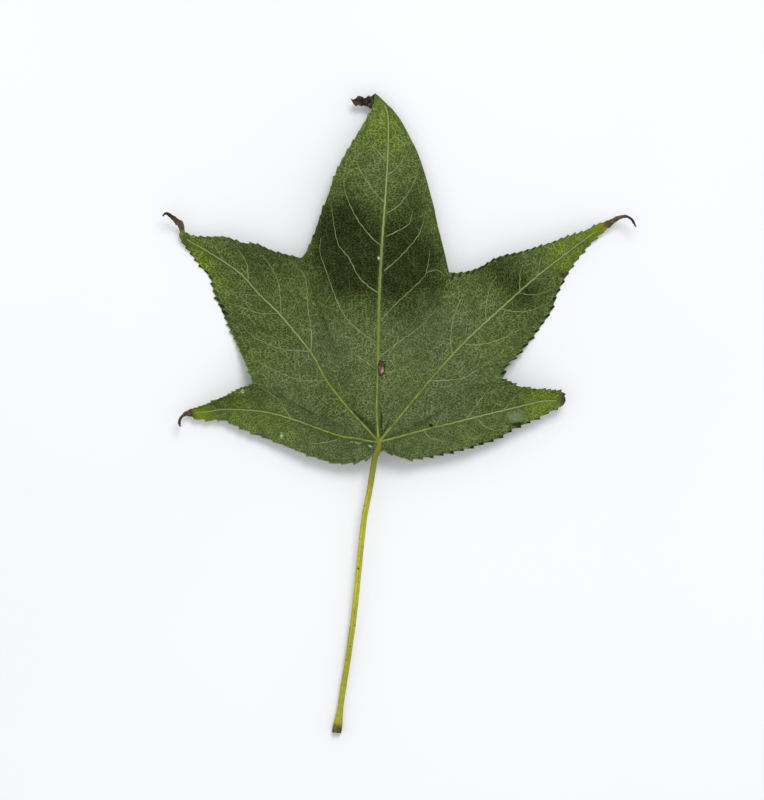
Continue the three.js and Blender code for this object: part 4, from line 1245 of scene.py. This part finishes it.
def blade_material():
    """The upper face. Of its attributes, main and edge are distances in millimetres, the others amounts."""
    finish = Finish("Leaf upper face")
    hues = colours()
    painted_light_shade, painted_sheen, main, edge, crease_shade_and_glint, peak, brown = (
        finish.attribute(name) for name in ("painted_light_shade", "painted_sheen", "main", "edge", "crease_shade_and_glint", "peak", "brown"))
    fine, small, coarse = nets(finish)
    drift, grain = finish.noise(70, 4), finish.noise(1300, 2, 0.7)
    patchy = finish.noise(330, 3).step(0.35, 0.65, 0.3, 1.0)
    # lit: painted light (above 0) and painted shade (below 0) of the upper face, with a little random drift
    lit = painted_light_shade + drift.step(0.25, 0.75, -0.18, 0.18)
    # Painted sheen greys the green, softens the net's contrast and tints the net
    painted_sheen = painted_sheen.step(0.1, 1.0)
    ground = finish.blend(painted_sheen, hues.blade, hues.blade_painted_sheen)
    # Painted shade darkens the green and painted light lightens it
    ground = finish.blend(lit.step(-1.1, 0.1), hues.blade_painted_shade, ground)
    ground = finish.blend(lit.step(0.1, 1.15), ground, hues.blade_painted_light)
    lines = (small * 0.3 + fine * patchy).highest(coarse * 0.75)
    # The fine net: paler small veins, with painted shade in the cells between them, softer where painted
    # light and painted sheen lie
    shine = lines * painted_light_shade.step(0.1, 0.5, 1.0, 0.85) * grain.step(0.3, 0.7, 0.75, 1.25)
    net_light_and_hollow_shade = shine * NET_CONTRAST + grain.step(0.36, 0.62, 0.42, 0.68)
    net_light_and_hollow_shade = (1.0 - net_light_and_hollow_shade) * painted_sheen.step(0.0, 1.0, 0.0, 0.12) + net_light_and_hollow_shade
    brightness = finish.node("CombineColor", "Color", {0: net_light_and_hollow_shade, 1: net_light_and_hollow_shade, 2: net_light_and_hollow_shade})
    net = finish.blend(painted_sheen, tinted(hues.net, YELLOWER_NET), hues.net)
    skin = finish.over(
        finish.blend(1.0, ground, brightness, "MULTIPLY"),
        # The net's paler colour, stronger where painted light lies
        (shine * lit.step(-1.1, 0.0, 0.12, 0.3), net),
        (main.step(0.35, 1.3, 0.5, 0.0), BESIDE_MAIN_VEIN),
        (edge.step(0.0, 0.4, 0.45, 0.0) * patchy, RIM),
        # Painted shade in the folds near the base, and painted glints on their ridges
        (crease_shade_and_glint.step(-0.05, -1.0, 0.0, 0.9) * patchy, PAINTED_FOLD_SHADE),
        (crease_shade_and_glint.step(0.35, 1.0) * grain.step(0.35, 0.55), FOLD_GLINT))
    skin = finish.over(
        browned(finish, skin),
        (peak.step(0.25, 0.7, 0.0, 0.95) * brown, BROWN_TOOTH),
        (peak.step(0.72, 0.98) * edge.step(0.1, 0.42, 0.85, 0.0) * (1.0 - brown), GREEN_TOOTH))
    height = grain * 1.1 + small * -0.35 + fine * -0.7 + coarse * -0.8
    roughness = drift.step(0.3, 0.7, 0.38, 0.52)
    return finish.done(marked(finish, skin, MARKS + DEAD), roughness, 0.035, height, 0.00018)


def underside_material():
    finish = Finish("Leaf lower face")
    below = colours().underside
    fine, small, coarse = nets(finish)
    net = (fine * 0.45).highest(coarse * 0.6).highest(small * 0.2)
    ground = finish.blend(finish.noise(80).step(0.3, 0.7), below, tinted(below, 0.8))
    skin = marked(finish, browned(finish, finish.over(ground, (net, NET_BELOW))), DEAD)
    return finish.done(skin, 0.6, 0.25, fine * 0.5 + small * 0.3 + coarse, 0.0001, 0.9)


def vein_material(name, colour, layers_of):
    """The finish of veins of a colour. layers_of gives the layers that lie over it."""
    finish = Finish(name)
    drift = finish.noise(420).step(0.3, 0.7)
    skin = finish.blend(drift, tinted(colour, 0.6), tinted(colour, 1.15))
    skin = finish.over(skin, *layers_of(finish, finish.attribute("along")))
    return finish.done(skin, 0.45, 0.3, finish.noise(1500), 0.00005, 0.6)


def main_vein_layers(finish, along):
    return ((along.step(0.25, 0.6, 0.0, 0.9), PALE_MAIN_VEIN),
            # Towards their ends the main veins fade into the blade's painted-light green
            (along.step(0.85, 1.0, 0.0, 0.35), colours().blade_painted_light),
            (finish.attribute("olive").step(0.0, 1.0, 0.0, 0.8), OLIVE_MAIN_VEIN))


def side_vein_layers(finish, along):
    faint = finish.noise(120).step(0.35, 0.6) * 0.2
    return ((faint.highest(along.step(0.55, 1.0, 0.0, 0.55)), colours().blade),)


def fold_material():
    finish = Finish("Folded edge")
    skin = finish.over(finish.blend(finish.noise(600).step(0.3, 0.7), FOLD_DARK, FOLD_LIGHT),
                       (finish.attribute("along").step(0.72, 0.95), FOLD_NEAR_TIP))
    return finish.done(skin, 0.5, 0.25, finish.noise(1200), 0.00008, 0.6)


def stalk_material():
    finish = Finish("Stalk")
    stalk = colours().stalk
    along, across, drift = finish.attribute("along"), finish.attribute("round"), finish.noise(260, 4)
    groove = (across + 0.22).magnitude().step(0.02, 0.3, 0.75, 0.0)
    frayed = drift * 0.025 + along
    skin = finish.over(
        finish.blend(drift.step(0.35, 0.7), stalk, tinted(stalk, 1.3)),
        (groove.highest(across.step(-0.4, -0.85, 0.0, 0.4)), STALK_SIDE),
        (along.step(0.45, 0.85, 0.0, 0.5), STALK_LOWER),
        (along.step(0.03, 0.3, 0.9, 0.0), STALK_UPPER),
        (finish.noise(1100, 3).step(0.4, 0.65, 0.0, 0.3), STALK_CLOUD),
        (finish.noise(900, 2).step(0.655, 0.70), STALK_SPECK),
        (frayed.step(0.972, 0.992), CUT_RIM),
        (finish.noise(1300, 2).step(0.42, 0.58) * frayed.step(0.985, 1.0), CUT_END))
    return finish.done(skin, 0.45, 0.15, finish.noise(900, 3), 0.00012, 0.6)


def dried_material():
    finish = Finish("Dried tip")
    green = finish.blend(finish.noise(700, 3).step(0.35, 0.65), colours().blade, colours().ripe)
    skin = finish.over(browned(finish, green), (finish.attribute("dry").step(0.5, 0.8), BLACKENED))
    return finish.done(skin, 0.6, 0.25, finish.noise(1300, 4), 0.0002, 0.9)


def crumpled_material():
    finish = Finish("Crumpled tip")
    skin = finish.over(finish.blend(finish.noise(650, 4).step(0.35, 0.68), CRUMPLE_DARK, CRUMPLE_BROWN),
                       (finish.noise(1400, 2).step(0.62, 0.72, 0.0, 0.6), CRUMPLE_PALE))
    return finish.done(skin, 0.75, 0.2, finish.noise(1500, 4), 0.00025)


def scab_material():
    finish = Finish("Dead spot")
    drift = finish.noise(900, 3)
    from_highlight = finish.away(finish.place, to_frame(SCAB_HIGHLIGHT_AT), (1 / 1000, 1 / 600))
    skin = finish.over(
        finish.blend(drift.step(0.35, 0.65), SCAB_DARK, SCAB_BROWN),
        # A painted highlight on the dead spot's lower right
        (from_highlight.step(0.1, 0.95, 0.9, 0.0), SCAB_PAINTED_HIGHLIGHT),
        (finish.attribute("out").step(0.62, 0.88), SCAB_RIM))
    return finish.done(skin, 0.5, 0.3, drift, 0.0002, 0.8)


def floor_material():
    finish = Finish("White surface")
    return finish.done(finish.blend(finish.noise(6, 2).step(0.3, 0.7), *FLOOR_COLOURS), 0.9, 0.2)


class LEAF_PT_panel(bpy.types.Panel):
    bl_idname = "LEAF_PT_panel"
    bl_label = "Sweetgum leaf"
    bl_space_type = "VIEW_3D"
    bl_region_type = "UI"
    bl_category = "Leaf"

    def draw(self, context):
        for group in (context.scene.leaf_sizes, context.scene.leaf_colours):
            for name in group.__annotations__:
                self.layout.prop(group, name)
        for step in STEPS:
            self.layout.operator(step.bl_idname)


STEPS = (LEAF_OT_blade, LEAF_OT_veins, LEAF_OT_folded_edge, LEAF_OT_stalk, LEAF_OT_dried_tips,
         LEAF_OT_crumpled_tip, LEAF_OT_scab, LEAF_OT_stage)
CLASSES = (LeafSizes, LeafColours, *STEPS, LEAF_PT_panel)


def register():
    for one in CLASSES:
        bpy.utils.register_class(one)
    bpy.types.Scene.leaf_sizes = bpy.props.PointerProperty(type=LeafSizes)
    bpy.types.Scene.leaf_colours = bpy.props.PointerProperty(type=LeafColours)


def unregister():
    del bpy.types.Scene.leaf_colours
    del bpy.types.Scene.leaf_sizes
    for one in reversed(CLASSES):
        bpy.utils.unregister_class(one)


def main():
    register()
    bpy.ops.leaf.blade()
    bpy.ops.leaf.veins()
    bpy.ops.leaf.folded_edge()
    bpy.ops.leaf.stalk()
    bpy.ops.leaf.dried_tips()
    bpy.ops.leaf.crumpled_tip()
    bpy.ops.leaf.scab()
    bpy.ops.leaf.stage()
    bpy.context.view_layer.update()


if __name__ == "__main__":
    main()
